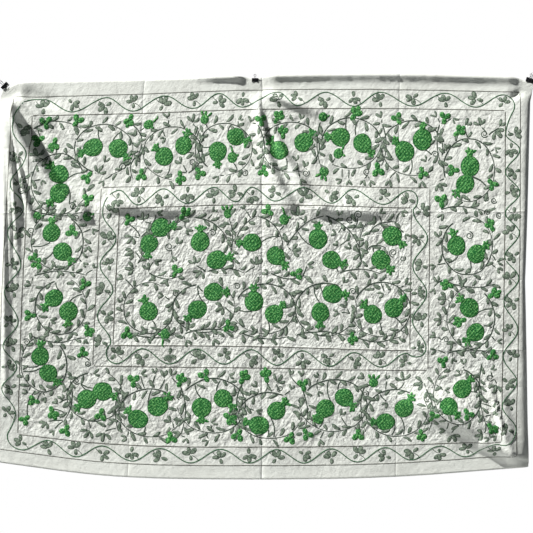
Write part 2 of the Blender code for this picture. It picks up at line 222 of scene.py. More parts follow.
# Storage creases: which way the line runs, its place on the flat cloth, depth and width.
creases = (
    {"runs": "down", "at": 0.585, "depth": 0.0016, "width": 0.007},
    {"runs": "down", "at": 1.080, "depth": 0.0030, "width": 0.008},
    {"runs": "down", "at": 1.618, "depth": 0.0016, "width": 0.007},
    {"runs": "across", "at": 0.270, "depth": 0.0007, "width": 0.008},
    {"runs": "across", "at": 0.527, "depth": -0.0018, "width": 0.009},
    {"runs": "across", "at": 0.790, "depth": 0.0009, "width": 0.007},
    {"runs": "across", "at": 1.062, "depth": -0.0022, "width": 0.008},
    {"runs": "across", "at": 1.215, "depth": 0.0009, "width": 0.008},
)


def ease(low, high, value):
    share = np.clip((value - low) / (high - low), 0.0, 1.0)
    return share * share * (3.0 - 2.0 * share)


def curveThrough(stations, values, places):
    stations = np.asarray(stations)
    slopes = np.gradient(values, stations, axis=0)
    step = np.clip(np.searchsorted(stations, places) - 1, 0, len(stations) - 2)
    run = stations[step + 1] - stations[step]
    t = (places - stations[step]) / run
    start = (1 + 2 * t) * (1 - t) ** 2
    turnOut = t * (1 - t) ** 2 * run
    turnIn = -(t**2) * (1 - t) * run
    if values.ndim == 1:
        near, far, out, into = values[step], values[step + 1], slopes[step], slopes[step + 1]
    else:
        own = np.arange(len(places))
        near, far = values[step, own], values[step + 1, own]
        out, into = slopes[step, own], slopes[step + 1, own]
    return start * near + (1 - start) * far + turnOut * out + turnIn * into


def levelAt(u, v):
    rows = np.array(levels)
    across = np.array([curveThrough(levelPlaces, row[1:], u) for row in rows])
    return curveThrough(rows[:, 0], across, v)


def frontPlace(u, v):
    values = clothValues
    middle = values["width"] / 2
    left = np.clip((middle - u) / middle, 0.0, 1.0)
    right = np.clip((u - middle) / middle, 0.0, 1.0)
    lean = values["leanLeft"] * ease(0.0, 0.6, left) + values["leanRight"] * ease(0.0, 0.9, right)
    x = u - middle + values["shift"] - lean * (v - values["leanPivot"])
    z = levelAt(u, v)
    for clip in clipPlaces.values():
        near = np.exp(-(((x - clip["x"]) / values["dipReach"]) ** 2))
        z -= clip["dip"] * near * (1 - ease(0.0, values["margin"], v))
    return x, z


def foldHeight(x, z, rows):
    height = np.zeros(x.shape)
    for row in rows:
        fold = dict(zip(foldColumns, row))
        start, end = np.array((fold["x0"], fold["z0"])), np.array((fold["x1"], fold["z1"]))
        along = end - start
        upper = np.array((-along[1], along[0])) / np.linalg.norm(along)
        bend = (start + end) / 2 + 2 * fold["bow"] * upper
        t = np.linspace(0.0, 1.0, clothValues["foldSteps"] + 1)[:, None]
        axis = (1 - t) ** 2 * start + 2 * t * (1 - t) * bend + t**2 * end
        nearest = np.full(x.shape, np.inf)
        share, side = np.zeros(x.shape), np.zeros(x.shape)
        for step in range(clothValues["foldSteps"]):
            a, run = axis[step], axis[step + 1] - axis[step]
            length = np.linalg.norm(run)
            dx, dz = x - a[0], z - a[1]
            s = np.clip((dx * run[0] + dz * run[1]) / length**2, 0.0, 1.0)
            off = np.hypot(dx - s * run[0], dz - s * run[1])
            closer = off < nearest
            nearest = np.where(closer, off, nearest)
            share = np.where(closer, (step + s) / clothValues["foldSteps"], share)
            side = np.where(closer, run[0] * dz - run[1] * dx, side)
        width = fold["width0"] + (fold["width1"] - fold["width0"]) * share
        width = width * np.where(side > 0, fold["steep"], 1.0)
        rise = ease(-0.02, fold["head"], share) * (1 - (1 - fold["tail"]) * ease(0.55, 1.0, share))
        height += fold["rise"] * rise * np.exp(-((nearest / width) ** 2))
    return height


def noiseField(u, v, size, kind):
    seed, stretch, turn = reliefNoise[kind]
    c, s = math.cos(turn), math.sin(turn)
    a = (u * c + v * s) / size
    b = (-u * s + v * c) / (size * stretch)
    return np.array([noise.noise(Vector((p, q, seed))) for p, q in zip(a.ravel(), b.ravel())]).reshape(u.shape)


def fineRelief(u, v, x, z):
    values = clothValues
    rough = values["wave"] * noiseField(u, v, values["waveSize"], "wave")
    ridges = 1 - 2 * np.abs(noiseField(u, v, values["puckerSize"], "pucker"))
    cross = 1 - 2 * np.abs(noiseField(u, v, values["puckerSize"] * 0.9, "crossPucker"))
    inset = np.minimum(np.minimum(u, values["width"] - u), np.minimum(v, values["height"] - v))
    worked = ease(0.05, 0.16, inset)
    rough += values["pucker"] * (0.25 + 0.75 * worked) * (ridges * 0.65 + cross * 0.55)
    rough += values["fine"] * noiseField(u, v, values["fineSize"], "fine")
    (middleU, middleV), (spreadU, spreadV) = values["drawnMiddle"], values["drawnSpread"]
    where = worked * (0.25 + np.exp(-(((u - middleU) / spreadU) ** 2) - ((v - middleV) / spreadV) ** 2))
    patches = np.clip(0.5 + 1.6 * noiseField(u, v, 0.11, "patch"), 0.0, 1.3)
    rough += values["drawn"] * where * patches * noiseField(u, v, values["drawnSize"], "drawn")
    waver = noiseField(u, v, 0.12, "waver")
    for crease in creases:
        line, along = (u, v) if crease["runs"] == "down" else (v, u)
        off = np.abs(line - crease["at"] - 0.006 * waver)
        strength = 0.75 + 0.9 * waver
        rough -= crease["depth"] * strength * np.exp(-off / crease["width"])
    rough += values["hemRise"] * (1 - ease(values["hem"] - values["hemStep"], values["hem"] + values["hemStep"], inset))
    lip = np.interp(x, values["lipPlaces"], values["lipForward"])
    rough += lip * (1 - ease(0.0, values["lipDepth"], v))
    return rough + foldHeight(x, z, smallFolds)


def hang(u, v):
    values = clothValues
    x, z = frontPlace(u, v)
    down = v / values["height"]
    middle = values["width"] / 2
    out = foldHeight(x, z, folds) + fineRelief(u, v, x, z)
    left = np.clip((middle - u) / middle, 0.0, 1.0)
    out -= values["footSwing"] * left**1.5 * ease(0.45, 1.1, down)
    out += values["belly"] * np.sin(math.pi * down)
    out += values["tipForward"] * (1 - ease(0.0, values["tipDepth"], v)) * ease(-0.25, 0.10, x)
    for name, sign, inset in (("left", -1, u), ("right", 1, values["width"] - u)):
        share = np.clip(1 - inset / values["margin"], 0.0, 1.0)
        shows = np.interp(down, rollPlaces, rolls[name]["shows"])
        turns = np.interp(down, rollPlaces, rolls[name]["turns"])
        x = x + sign * (shows * np.sin(share * math.pi / 2) - values["margin"] * share)
        out -= turns * share**2
    for clip in clipPlaces.values():
        out *= ease(values["gripInner"], values["gripOuter"], np.hypot(x - clip["x"], z - clip["z"]))
    return np.stack((x, -out, z), axis=-1)


def hungGrid():
    values = clothValues
    us = [0.0]
    for end, count in values["columnRuns"]:
        us.extend(np.linspace(us[-1], end, count + 1)[1:])
    us = np.array(us)
    vs = np.linspace(0.0, values["height"], values["rows"] + 1)
    u, v = np.meshgrid(us, vs)
    flat = hang(u.ravel(), v.ravel())
    places = flat.reshape(len(vs), len(us), 3)
    across = np.gradient(places, axis=1)
    down = np.gradient(places, axis=0)
    fronts = np.cross(down, across)  # towards the viewer
    fronts /= np.linalg.norm(fronts, axis=2)[..., None]
    return us, vs, places, fronts


gridColumns, gridRows, gridPlaces, gridFronts = hungGrid()
print("drape worked out:", gridPlaces.shape)


def onCloth(u, v, height):
    a = np.interp(u, gridColumns, np.arange(len(gridColumns)))
    b = np.interp(v, gridRows, np.arange(len(gridRows)))
    i = np.clip(a.astype(int), 0, len(gridColumns) - 2)
    j = np.clip(b.astype(int), 0, len(gridRows) - 2)
    s, t = (a - i)[:, None], (b - j)[:, None]

    def read(grid):
        top = grid[j, i] * (1 - s) + grid[j, i + 1] * s
        foot = grid[j + 1, i] * (1 - s) + grid[j + 1, i + 1] * s
        return top * (1 - t) + foot * t

    front = read(gridFronts)
    return read(gridPlaces) + front / np.linalg.norm(front, axis=1)[:, None] * height[:, None]


def flatPlace(points):
    seen = np.asarray(points, dtype=float) * cm * (1, -1)
    u = seen[:, 0] + clothValues["width"] / 2 - clothValues["shift"]
    v = -seen[:, 1]
    for turn in range(8):
        x, z = frontPlace(u, v)
        u = u + seen[:, 0] - x
        v = v - (seen[:, 1] - z)
    return np.stack((u, v), axis=1)


# Materials. Each shared effect is a node group with its own values in every material.
def feed(tree, socket, value):
    if isinstance(value, bpy.types.NodeSocket):
        tree.links.new(value, socket)
    else:
        socket.default_value = value


def addNode(tree, kind, values, **settings):
    node = tree.nodes.new("ShaderNode" + kind)
    for label, setting in settings.items():
        setattr(node, label, setting)
    for label, value in values.items():
        feed(tree, node.inputs[label], value)
    return node


def calculate(tree, operation, first, second=0.0):
    return addNode(tree, "Math", {0: first, 1: second}, operation=operation).outputs["Value"]


def addUp(tree, parts):  # each part is a value and its share
    total = None
    for value, share in parts:
        part = calculate(tree, "MULTIPLY", value, share)
        total = part if total is None else calculate(tree, "ADD", total, part)
    return total


def newGroup(name, inputs, outputs):
    tree = bpy.data.node_groups.new(name, "ShaderNodeTree")
    tree.interface.new_socket("Vector", in_out="INPUT", socket_type="NodeSocketVector")
    for label, value in inputs.items():
        socket = tree.interface.new_socket(label, in_out="INPUT", socket_type="NodeSocketFloat")
        socket.default_value = value
    for label in outputs:
        tree.interface.new_socket(label, in_out="OUTPUT", socket_type="NodeSocketFloat")
    return tree, tree.nodes.new("NodeGroupInput").outputs, tree.nodes.new("NodeGroupOutput").inputs


def makeWeaveGroup():
    tree, given, made = newGroup("plainWeave", {"Threads": 300.0, "Slub": 0.5}, ("Height", "Shade"))
    waves, slubs = [], []
    for direction, stretched in (("X", (1, 0.04, 1)), ("Y", (0.04, 1, 1))):
        wave = addNode(tree, "TexWave", {
            "Vector": given["Vector"], "Scale": given["Threads"], "Distortion": 0.6,
        }, bands_direction=direction)
        stretch = addNode(tree, "Mapping", {"Vector": given["Vector"], "Scale": stretched})
        slub = addNode(tree, "TexNoise", {"Vector": stretch.outputs["Vector"], "Scale": 420, "Detail": 2})
        waves.append(wave.outputs["Fac"])
        slubs.append(slub.outputs["Fac"])
    threads = calculate(tree, "ADD", *waves)
    shade = calculate(tree, "MULTIPLY", calculate(tree, "ADD", *slubs), given["Slub"])
    feed(tree, made["Height"], calculate(tree, "ADD", threads, shade))
    feed(tree, made["Shade"], shade)
    return tree


def makeStitchGroup():
    inputs = {"Rows": 50.0, "Strands": 350.0, "Slant": 0.8, "Flecks": 120.0}
    tree, given, made = newGroup("laidThread", inputs, ("Height", "Row", "Strand", "Fleck"))
    turned = addNode(tree, "VectorRotate", {
        "Vector": given["Vector"], "Angle": given["Slant"],
    }, rotation_type="Z_AXIS").outputs["Vector"]
    rows = addNode(tree, "TexWave", {
        "Vector": turned, "Scale": given["Rows"], "Distortion": 2.2, "Detail": 1, "Detail Scale": 1.5,
    }).outputs["Fac"]
    long = addNode(tree, "Mapping", {"Vector": given["Vector"], "Scale": (0.08, 1, 1)}).outputs["Vector"]
    strands = addNode(tree, "TexNoise", {"Vector": long, "Scale": given["Strands"], "Detail": 2}).outputs["Fac"]
    wide = addNode(tree, "Mapping", {"Vector": turned, "Scale": (0.50, 1, 1)}).outputs["Vector"]
    fleck = addNode(tree, "TexNoise", {
        "Vector": wide, "Scale": given["Flecks"], "Detail": 2, "Roughness": 0.6,
    }).outputs["Fac"]
    height = addUp(tree, ((strands, 0.7), (fleck, 1.4), (rows, 0.22)))
    for label, value in (("Height", height), ("Row", rows), ("Strand", strands), ("Fleck", fleck)):
        feed(tree, made[label], value)
    return tree


def makeCrumpleGroup():
    tree, given, made = newGroup("crumple", {"Size": 30.0}, ("Height", "Blotch"))
    ridges = []
    for angle, share in ((0.7, 1.0), (-0.6, 0.9), (1.5, 0.7)):
        spun = addNode(tree, "VectorRotate", {"Vector": given["Vector"], "Angle": angle}, rotation_type="Z_AXIS")
        drawn = addNode(tree, "Mapping", {"Vector": spun.outputs["Vector"], "Scale": (1.0, 0.42, 1.0)})
        grain = addNode(tree, "TexNoise", {
            "Vector": drawn.outputs["Vector"], "Scale": given["Size"], "Detail": 3, "Roughness": 0.55,
        })
        off = calculate(tree, "SUBTRACT", grain.outputs["Fac"], 0.5)
        ridges.append((calculate(tree, "ABSOLUTE", off), -share))
    feed(tree, made["Height"], addUp(tree, ridges))
    blotch = addNode(tree, "TexNoise", {"Vector": given["Vector"], "Scale": 6, "Detail": 4})
    feed(tree, made["Blotch"], blotch.outputs["Fac"])
    return tree


def makeCreaseGroup():
    tree, given, made = newGroup("foldedLine", {"Across": 0.0, "Place": 0.0, "Width": 0.003}, ("Height",))
    parts = addNode(tree, "SeparateXYZ", {"Vector": given["Vector"]}).outputs
    pick = addNode(tree, "Mix", {0: given["Across"], 2: parts["X"], 3: parts["Y"]}).outputs[0]
    waver = addNode(tree, "TexNoise", {"Vector": given["Vector"], "Scale": 9}).outputs["Fac"]
    bent = calculate(tree, "MULTIPLY", calculate(tree, "SUBTRACT", waver, 0.5), 0.012)
    off = calculate(tree, "SUBTRACT", calculate(tree, "ADD", pick, bent), given["Place"])
    off = calculate(tree, "DIVIDE", calculate(tree, "ABSOLUTE", off), given["Width"])
    fade = calculate(tree, "POWER", 2.718, calculate(tree, "MULTIPLY", off, -1))
    feed(tree, made["Height"], fade)
    return tree


creaseGroup = makeCreaseGroup()
weaveGroup = makeWeaveGroup()
stitchGroup = makeStitchGroup()
crumpleGroup = makeCrumpleGroup()


def newMaterial(name, roughness, sheen=0.0, specular=0.2):
    material = bpy.data.materials.new(name)
    material.use_nodes = True
    shader = material.node_tree.nodes["Principled BSDF"]
    shader.inputs["Roughness"].default_value = roughness
    shader.inputs["Sheen Weight"].default_value = sheen
    shader.inputs["Specular IOR Level"].default_value = specular
    return material, material.node_tree, shader


def attribute(tree, name):
    return addNode(tree, "Attribute", {}, attribute_name=name).outputs


def ramp(tree, fac, stops):
    node = addNode(tree, "ValToRGB", {"Fac": fac})
    for element, (place, colour) in zip(node.color_ramp.elements, stops):
        element.position = place
        element.color = (*colour, 1)
    return node.outputs["Color"]


def bump(tree, shader, height, distance):
    node = addNode(tree, "Bump", {"Height": height, "Distance": distance, "Strength": 1.0})
    normal = shader.inputs["Normal"]
    if normal.is_linked:
        feed(tree, node.inputs["Normal"], normal.links[0].from_socket)
    feed(tree, normal, node.outputs["Normal"])


cotton = {
    "light": (0.795, 0.825, 0.785), "aged": (0.700, 0.720, 0.680), "tones": (0.45, 0.85), "slubTone": 0.3,
    "threads": 260.0, "slub": 0.6, "weaveDepth": 0.00012,
    "crumple": 38.0, "crumpleDepth": 0.0170,
    "creaseWidth": 0.0035, "creaseDepth": 0.0022, "fullCrease": 0.002,  # the depth that counts as one
    "roughness": 0.92, "sheen": 0.1, "specular": 0.15,
}


def makeCotton(values):
    material, tree, shader = newMaterial("cottonGround", values["roughness"], values["sheen"], values["specular"])
    place = attribute(tree, "cutPlace")["Vector"]
    weave = addNode(tree, "Group", {
        "Vector": place, "Threads": values["threads"], "Slub": values["slub"],
    }, node_tree=weaveGroup).outputs
    crumple = addNode(tree, "Group", {"Vector": place, "Size": values["crumple"]}, node_tree=crumpleGroup).outputs
    tone = addUp(tree, ((crumple["Blotch"], 1.0), (weave["Shade"], values["slubTone"])))
    colour = ramp(tree, tone, zip(values["tones"], (values["aged"], values["light"])))
    feed(tree, shader.inputs["Base Color"], colour)
    relief = calculate(tree, "MULTIPLY", crumple["Height"], attribute(tree, "stitched")["Fac"])
    bump(tree, shader, relief, values["crumpleDepth"])
    lines = []
    for crease in creases:
        line = addNode(tree, "Group", {
            "Vector": place, "Across": 1.0 if crease["runs"] == "across" else 0.0, "Place": crease["at"],
            "Width": values["creaseWidth"],
        }, node_tree=creaseGroup)
        lines.append((line.outputs["Height"], -crease["depth"] / values["fullCrease"]))
    bump(tree, shader, addUp(tree, lines), values["creaseDepth"])
    bump(tree, shader, weave["Height"], values["weaveDepth"])
    return material


# What the thin threads share, and then each silk.
fineThread = {
    "edge": (0.80, 0.98), "rows": 90.0, "strands": 500.0, "slant": 0.9, "flecks": 150.0,
    "split": (0.70, 0.90), "depth": 0.0006,
}
# Each silk's rim colour is painted shade: the colour turns to it at the edge of every stitched form, where the form
# meets the ground; edge gives where, on the way out to the rim, it comes in.
silks = {
    "greenSilk": {
        "light": (0.200, 0.540, 0.165), "deep": (0.014, 0.140, 0.030), "shadedRim": (0.006, 0.075, 0.016),
        "edge": (0.86, 0.98), "rows": 30.0, "strands": 330.0, "slant": 0.75, "flecks": 230.0,
        "split": (0.78, 0.98), "depth": 0.0030, "roughness": 0.55,
    },
    "greyLeafSilk": {
        "light": (0.270, 0.335, 0.262), "deep": (0.092, 0.135, 0.097), "shadedRim": (0.028, 0.052, 0.036),
        "edge": (0.60, 0.86), "rows": 60.0, "strands": 380.0, "slant": 0.3, "flecks": 150.0,
        "split": (0.72, 0.88), "depth": 0.0016, "roughness": 0.6,
    },
    "stemSilk": {
        **fineThread, "roughness": 0.6,
        "light": (0.066, 0.098, 0.070), "deep": (0.026, 0.044, 0.031), "shadedRim": (0.034, 0.055, 0.040),
    },
    "vineSilk": {
        **fineThread, "roughness": 0.55,
        "light": (0.060, 0.170, 0.078), "deep": (0.020, 0.075, 0.032), "shadedRim": (0.020, 0.075, 0.032),
    },
    "lineThread": {
        **fineThread, "roughness": 0.65,
        "light": (0.145, 0.145, 0.120), "deep": (0.060, 0.062, 0.053), "shadedRim": (0.060, 0.062, 0.053),
    },
}
# The stitch texture spreads each silk between its light and deep tones: partly the silk's own uneven colour, partly
# painted sheen of the laid threads.
silkShares = {"Row": 0.10, "Strand": 0.25, "Fleck": 1.25}  # what the colour of the silk follows


def makeSilk(name, values):
    material, tree, shader = newMaterial(name, values["roughness"])
    stitch = addNode(tree, "Group", {
        "Vector": attribute(tree, "thread")["Vector"], "Rows": values["rows"], "Strands": values["strands"],
        "Slant": values["slant"], "Flecks": values["flecks"],
    }, node_tree=stitchGroup).outputs
    mixed = addUp(tree, [(stitch[label], share) for label, share in silkShares.items()])
    # face: light and deep tones along the stitches, partly the silk's own colour and partly painted sheen
    face = ramp(tree, mixed, zip(values["split"], (values["deep"], values["light"])))
    # edge: painted shade, the colour darkening to the rim colour towards the edge of each form
    edge = ramp(tree, attribute(tree, "shadedRim")["Fac"], zip(values["edge"], ((0, 0, 0), (1, 1, 1))))
    colour = addNode(tree, "Mix", {0: edge, 6: face, 7: (*values["shadedRim"], 1)}, data_type="RGBA").outputs[2]
    feed(tree, shader.inputs["Base Color"], colour)
    bump(tree, shader, stitch["Height"], values["depth"])
    return material


clipFinishes = {
    "blackSteel": {"base": (0.012, 0.013, 0.016), "worn": (0.055, 0.058, 0.066), "roughness": 0.32},
    "blackWire": {"base": (0.016, 0.016, 0.018), "worn": (0.10, 0.10, 0.11), "roughness": 0.28},
}
clipWear = {"rubs": 160, "rubbed": (0.50, 0.74), "smoother": 0.1, "rougher": 0.2, "specks": 900, "speckDepth": 0.00004}


def makeClipFinish(name, values, wear):
    material, tree, shader = newMaterial(name, values["roughness"], specular=0.5)
    place = addNode(tree, "TexCoord", {}).outputs["Object"]
    speck = addNode(tree, "TexNoise", {"Vector": place, "Scale": wear["specks"], "Detail": 3}).outputs["Fac"]
    rub = addNode(tree, "TexNoise", {"Vector": place, "Scale": wear["rubs"], "Detail": 4}).outputs["Fac"]
    colour = ramp(tree, rub, zip(wear["rubbed"], (values["base"], values["worn"])))
    feed(tree, shader.inputs["Base Color"], colour)
    rough = addNode(tree, "MapRange", {
        "Value": rub, "To Min": values["roughness"] - wear["smoother"], "To Max": values["roughness"] + wear["rougher"],
    })
    feed(tree, shader.inputs["Roughness"], rough.outputs["Result"])
    bump(tree, shader, speck, wear["speckDepth"])
    return material


cottonMaterial = makeCotton(cotton)
silkMaterials = {name: makeSilk(name, values) for name, values in silks.items()}
print("materials are ready")


# How much the stitching crumples the ground. It grows by a share at the border, inside the border
# and in the middle, and lower down the inside of the border gains what the middle loses.
crumpleShares = {
    "margin": 0.16, "border": 0.24, "inside": 0.15, "middle": 0.55, "lower": 0.40, "lowerPart": (0.35, 1.15),
    "middleLeft": 0.51, "middleRight": 1.66, "middleTop": 0.51, "middleFoot": 1.06,
}


def stitching(u, v, values):
    inset = min(u, clothValues["width"] - u, v, clothValues["height"] - v)
    inner = min(u - values["middleLeft"], values["middleRight"] - u, v - values["middleTop"], values["middleFoot"] - v)
    lower = values["lower"] * float(ease(*values["lowerPart"], v))
    worked = values["margin"] + values["border"] * float(ease(0.05, 0.08, inset))
    worked += (values["inside"] + lower) * float(ease(0.13, 0.17, inset))
    return worked + (values["middle"] - lower) * float(ease(-0.02, 0.03, inner))


def makeCloth(values):
    mesh = bpy.data.meshes.new("hungCloth")
    bm = bmesh.new()
    columns, rows = len(gridColumns) - 1, len(gridRows) - 1
    bmesh.ops.create_grid(bm, x_segments=columns, y_segments=rows, size=0.5)
    cut = bm.verts.layers.float_vector.new("cutPlace")
    stitched = bm.verts.layers.float.new("stitched")
    for vert in bm.verts:
        i, j = round((vert.co.x + 0.5) * columns), round((0.5 - vert.co.y) * rows)
        u, v = gridColumns[i], gridRows[j]
        vert[cut] = (u, v, 0)
        vert[stitched] = stitching(u, v, crumpleShares)
        vert.co = gridPlaces[j, i]
    bm.to_mesh(mesh)
    bm.free()
    mesh.shade_smooth()
    cloth = bpy.data.objects.new("hungCloth", mesh)
    scene.collection.objects.link(cloth)
    cloth.data.materials.append(cottonMaterial)
    thick = cloth.modifiers.new("thickness", "SOLIDIFY")
    thick.thickness = values["thickness"]
    thick.offset = 0.0
    return cloth


cloth = makeCloth(clothValues)
print("cloth made:", len(cloth.data.polygons), "faces on its front")


# Embroidery. Every motif is modelled flat, across and up in metres of flat cloth with its height
# above it, and laid on the cloth at the end.
def takeApart(bm):
    bmesh.ops.recalc_face_normals(bm, faces=bm.faces)
    bm.verts.index_update()
    places = np.array([vert.co[:] for vert in bm.verts])
    faces = [tuple(vert.index for vert in face.verts) for face in bm.faces]
    bm.free()
    return places, faces


def startWork():
    return {"places": [], "faces": [], "thread": [], "shadedRim": [], "count": 0}


def addForm(work, places, faces, thread, shadedRim):
    work["places"].append(places)
    work["thread"].append(thread)
    work["shadedRim"].append(shadedRim)
    work["faces"].extend(tuple(k + work["count"] for k in face) for face in faces)
    work["count"] += len(places)


def endWork(work, name, material):
    flat = np.concatenate(work["places"])
    places = onCloth(flat[:, 0], -flat[:, 1], flat[:, 2])
    mesh = bpy.data.meshes.new(name)
    mesh.from_pydata(places, [], work["faces"])
    thread = mesh.attributes.new("thread", "FLOAT_VECTOR", "POINT")
    thread.data.foreach_set("vector", np.concatenate(work["thread"]).astype(np.float32).ravel())
    shadedRim = mesh.attributes.new("shadedRim", "FLOAT", "POINT")
    shadedRim.data.foreach_set("value", np.concatenate(work["shadedRim"]).astype(np.float32))
    mesh.shade_smooth()
    piece = bpy.data.objects.new(name, mesh)
    piece.data.materials.append(material)
    scene.collection.objects.link(piece)
    mesh.calc_loop_triangles()
    print(name, "laid on the cloth:", len(mesh.loop_triangles), "triangles")
    return piece


sewnDepth = 0.0008  # how far every form reaches into the cloth
roundForms = {}


def roundForm(sides, rings):
    if (sides, rings) not in roundForms:
        bm = bmesh.new()
        bmesh.ops.create_uvsphere(bm, u_segments=sides, v_segments=rings, radius=1)
        roundForms[sides, rings] = takeApart(bm)
    return roundForms[sides, rings]


def patch(work, centre, turn, length, width, sides=10, rings=4, lift=0.0018, outline=None, thread=0.0,
          swell=0.0, bend=0.0):
    ball, faces = roundForm(sides, rings)
    x, y, z = ball.T
    # how far out towards the edge of the form; the silk is painted darker there as shade
    shadedRim = np.hypot(x, y)
    if outline:
        reach = np.array([outline(angle) for angle in np.arctan2(y, x)])
        x, y = x * reach, y * reach
    a, b = x * length / 2, y * (1 + swell * x) * width / 2 + bend * length * (x * x - 0.4)
    c, s = math.cos(turn), math.sin(turn)
    tc, ts = math.cos(thread), math.sin(thread)
    rows = np.stack((a * tc + b * ts + random.uniform(0, 9), -a * ts + b * tc, np.zeros(len(x))), axis=1)
    high = z * np.where(z > 0, lift, sewnDepth)
    places = np.stack((centre[0] + a * c - b * s, -centre[1] + a * s + b * c, high), axis=1)
    addForm(work, places, faces, rows, shadedRim)


def strip(work, path, width, lift, sides=6, taper=0.0):
    path = np.asarray(path, dtype=float) * (1, -1)
    count = len(path) - 1
    bm = bmesh.new()
    bmesh.ops.create_grid(bm, x_segments=count, y_segments=sides, size=0.5)
    thread, edge = bm.verts.layers.float_vector.new("thread"), bm.verts.layers.float.new("shadedRim")
    runs = np.gradient(path, axis=0)
    runs /= np.maximum(np.linalg.norm(runs, axis=1), 1e-9)[:, None]
    lengths = np.concatenate(([0], np.cumsum(np.linalg.norm(np.diff(path, axis=0), axis=1))))
    for vert in bm.verts:
        step = round((vert.co.x + 0.5) * count)
        angle = -2 * math.pi * round((vert.co.y + 0.5) * sides) / sides
        size = 0.0 if step in (0, count) else 1 - taper * step / count
        off = math.cos(angle) * width / 2 * size
        high = math.sin(angle) * size
        high *= lift if high > 0 else sewnDepth
        vert[thread] = (lengths[step], off, 0)
        # how far out to the side of the strip; the silk is painted darker there as shade
        vert[edge] = abs(math.cos(angle))
        vert.co = (path[step][0] - runs[step][1] * off, path[step][1] + runs[step][0] * off, high)
    bmesh.ops.remove_doubles(bm, verts=bm.verts, dist=1e-6)
    rows = np.array([vert[thread][:] for vert in bm.verts])
    shadedRim = np.array([vert[edge] for vert in bm.verts])
    addForm(work, *takeApart(bm), rows, shadedRim)


def evenly(points, step=0.008):
    points = np.asarray(points, dtype=float)
    lengths = np.concatenate(([0], np.cumsum(np.linalg.norm(np.diff(points, axis=0), axis=1))))
    count = max(2, round(lengths[-1] / step))
    at = np.linspace(0, lengths[-1], count + 1)
    return np.stack((np.interp(at, lengths, points[:, 0]), np.interp(at, lengths, points[:, 1])), axis=1)


# The flat places of the lines that divide the embroidery: down from the top, and from the left.
lineValues = {
    "down": (0.060, 0.138, 0.432, 0.511, 1.062, 1.142, 1.454, 1.530),
    "across": (0.066, 0.1445, 0.434, 0.510, 1.6646, 1.737, 2.0325, 2.092),
    "width": 0.0042,
    "waver": 0.0012,
}


def wavering(points, amount, size=0.05, seed=0.0):
    points = np.asarray(points, dtype=float)
    moved = [
        (u + amount * noise.noise(Vector((u / size, v / size, seed))),
         v + amount * noise.noise(Vector((v / size, u / size, seed + 9))))
        for u, v in points
    ]
    return np.array(moved)


def makeLines(values):
    work = startWork()
    down, across = values["down"], values["across"]
    for k in range(4):
        left, right, top, foot = across[k], across[-1 - k], down[k], down[-1 - k]
        sides = (((left, top), (right, top)), ((left, foot), (right, foot)),
                 ((left, top), (left, foot)), ((right, top), (right, foot)))
        for start, end in sides:
            path = wavering(evenly((start, end), 0.0086), values["waver"], 0.07, k)
            strip(work, path, values["width"] * (0.85 + 0.15 * (k % 2)), lift=0.0015)
    return endWork(work, "borderLines", silkMaterials["lineThread"])


lines = makeLines(lineValues)

# Where the vines turn, in centimetres: every other place is a crest that leans outwards. Sides
# with no places have even waves.
vineTurns = {
    "outerTop": (-83.6, -72.2, -59.0, -48.1, -36.2, -24.0, -14.3, -4.9, 9.1, 16.8, 27.7, 39.1, 49.5, 62.4, 75.2,
                 87.5, 98.2),
    "outerRight": (22.0, 28.0, 37.0, 45.0, 53.5, 61.0, 70.0, 79.0, 88.0, 99.4, 109.5, 120.0, 129.0, 138.6),
    "outerLeft": (20.0, 30.5, 41.6, 51.0, 60.6, 73.6, 84.0, 96.2, 105.5, 114.0, 122.8, 133.0),
    "innerTop": (-53.9, -45.5, -36.2, -26.5, -16.2, -7.3, -1.2, 7.9, 19.3, 29.7, 38.6, 50.5, 60.5),
}

vineValues = {
    "width": 0.0050,
    "outer": {"wave": 0.222, "sideWave": 0.200, "swing": 0.028, "corner": 0.045},
    "inner": {"wave": 0.206, "sideWave": 0.186, "swing": 0.028, "corner": 0.045},
    "lobe": (0.0340, 0.0205), "lobeTurns": (-1.0, -0.05, 0.9, 2.9),
}


def bayPlaces(name, side, left, top, length, wave):
    turns = vineTurns.get(name + side)
    if turns is None:
        halves = 2 * round(length / wave)
        return [(k + 0.5) / halves * length for k in range(halves)]
    if side == "Top":
        places = flatPlace([(place, top / cm) for place in turns])[:, 0] - left
    else:
        places = flatPlace([(-90.0 if side == "Left" else 100.0, place) for place in turns])[:, 1] - top
    places = [place for place in places if 0 < place < length]
    return [length - place for place in reversed(places)] if side == "Left" else places


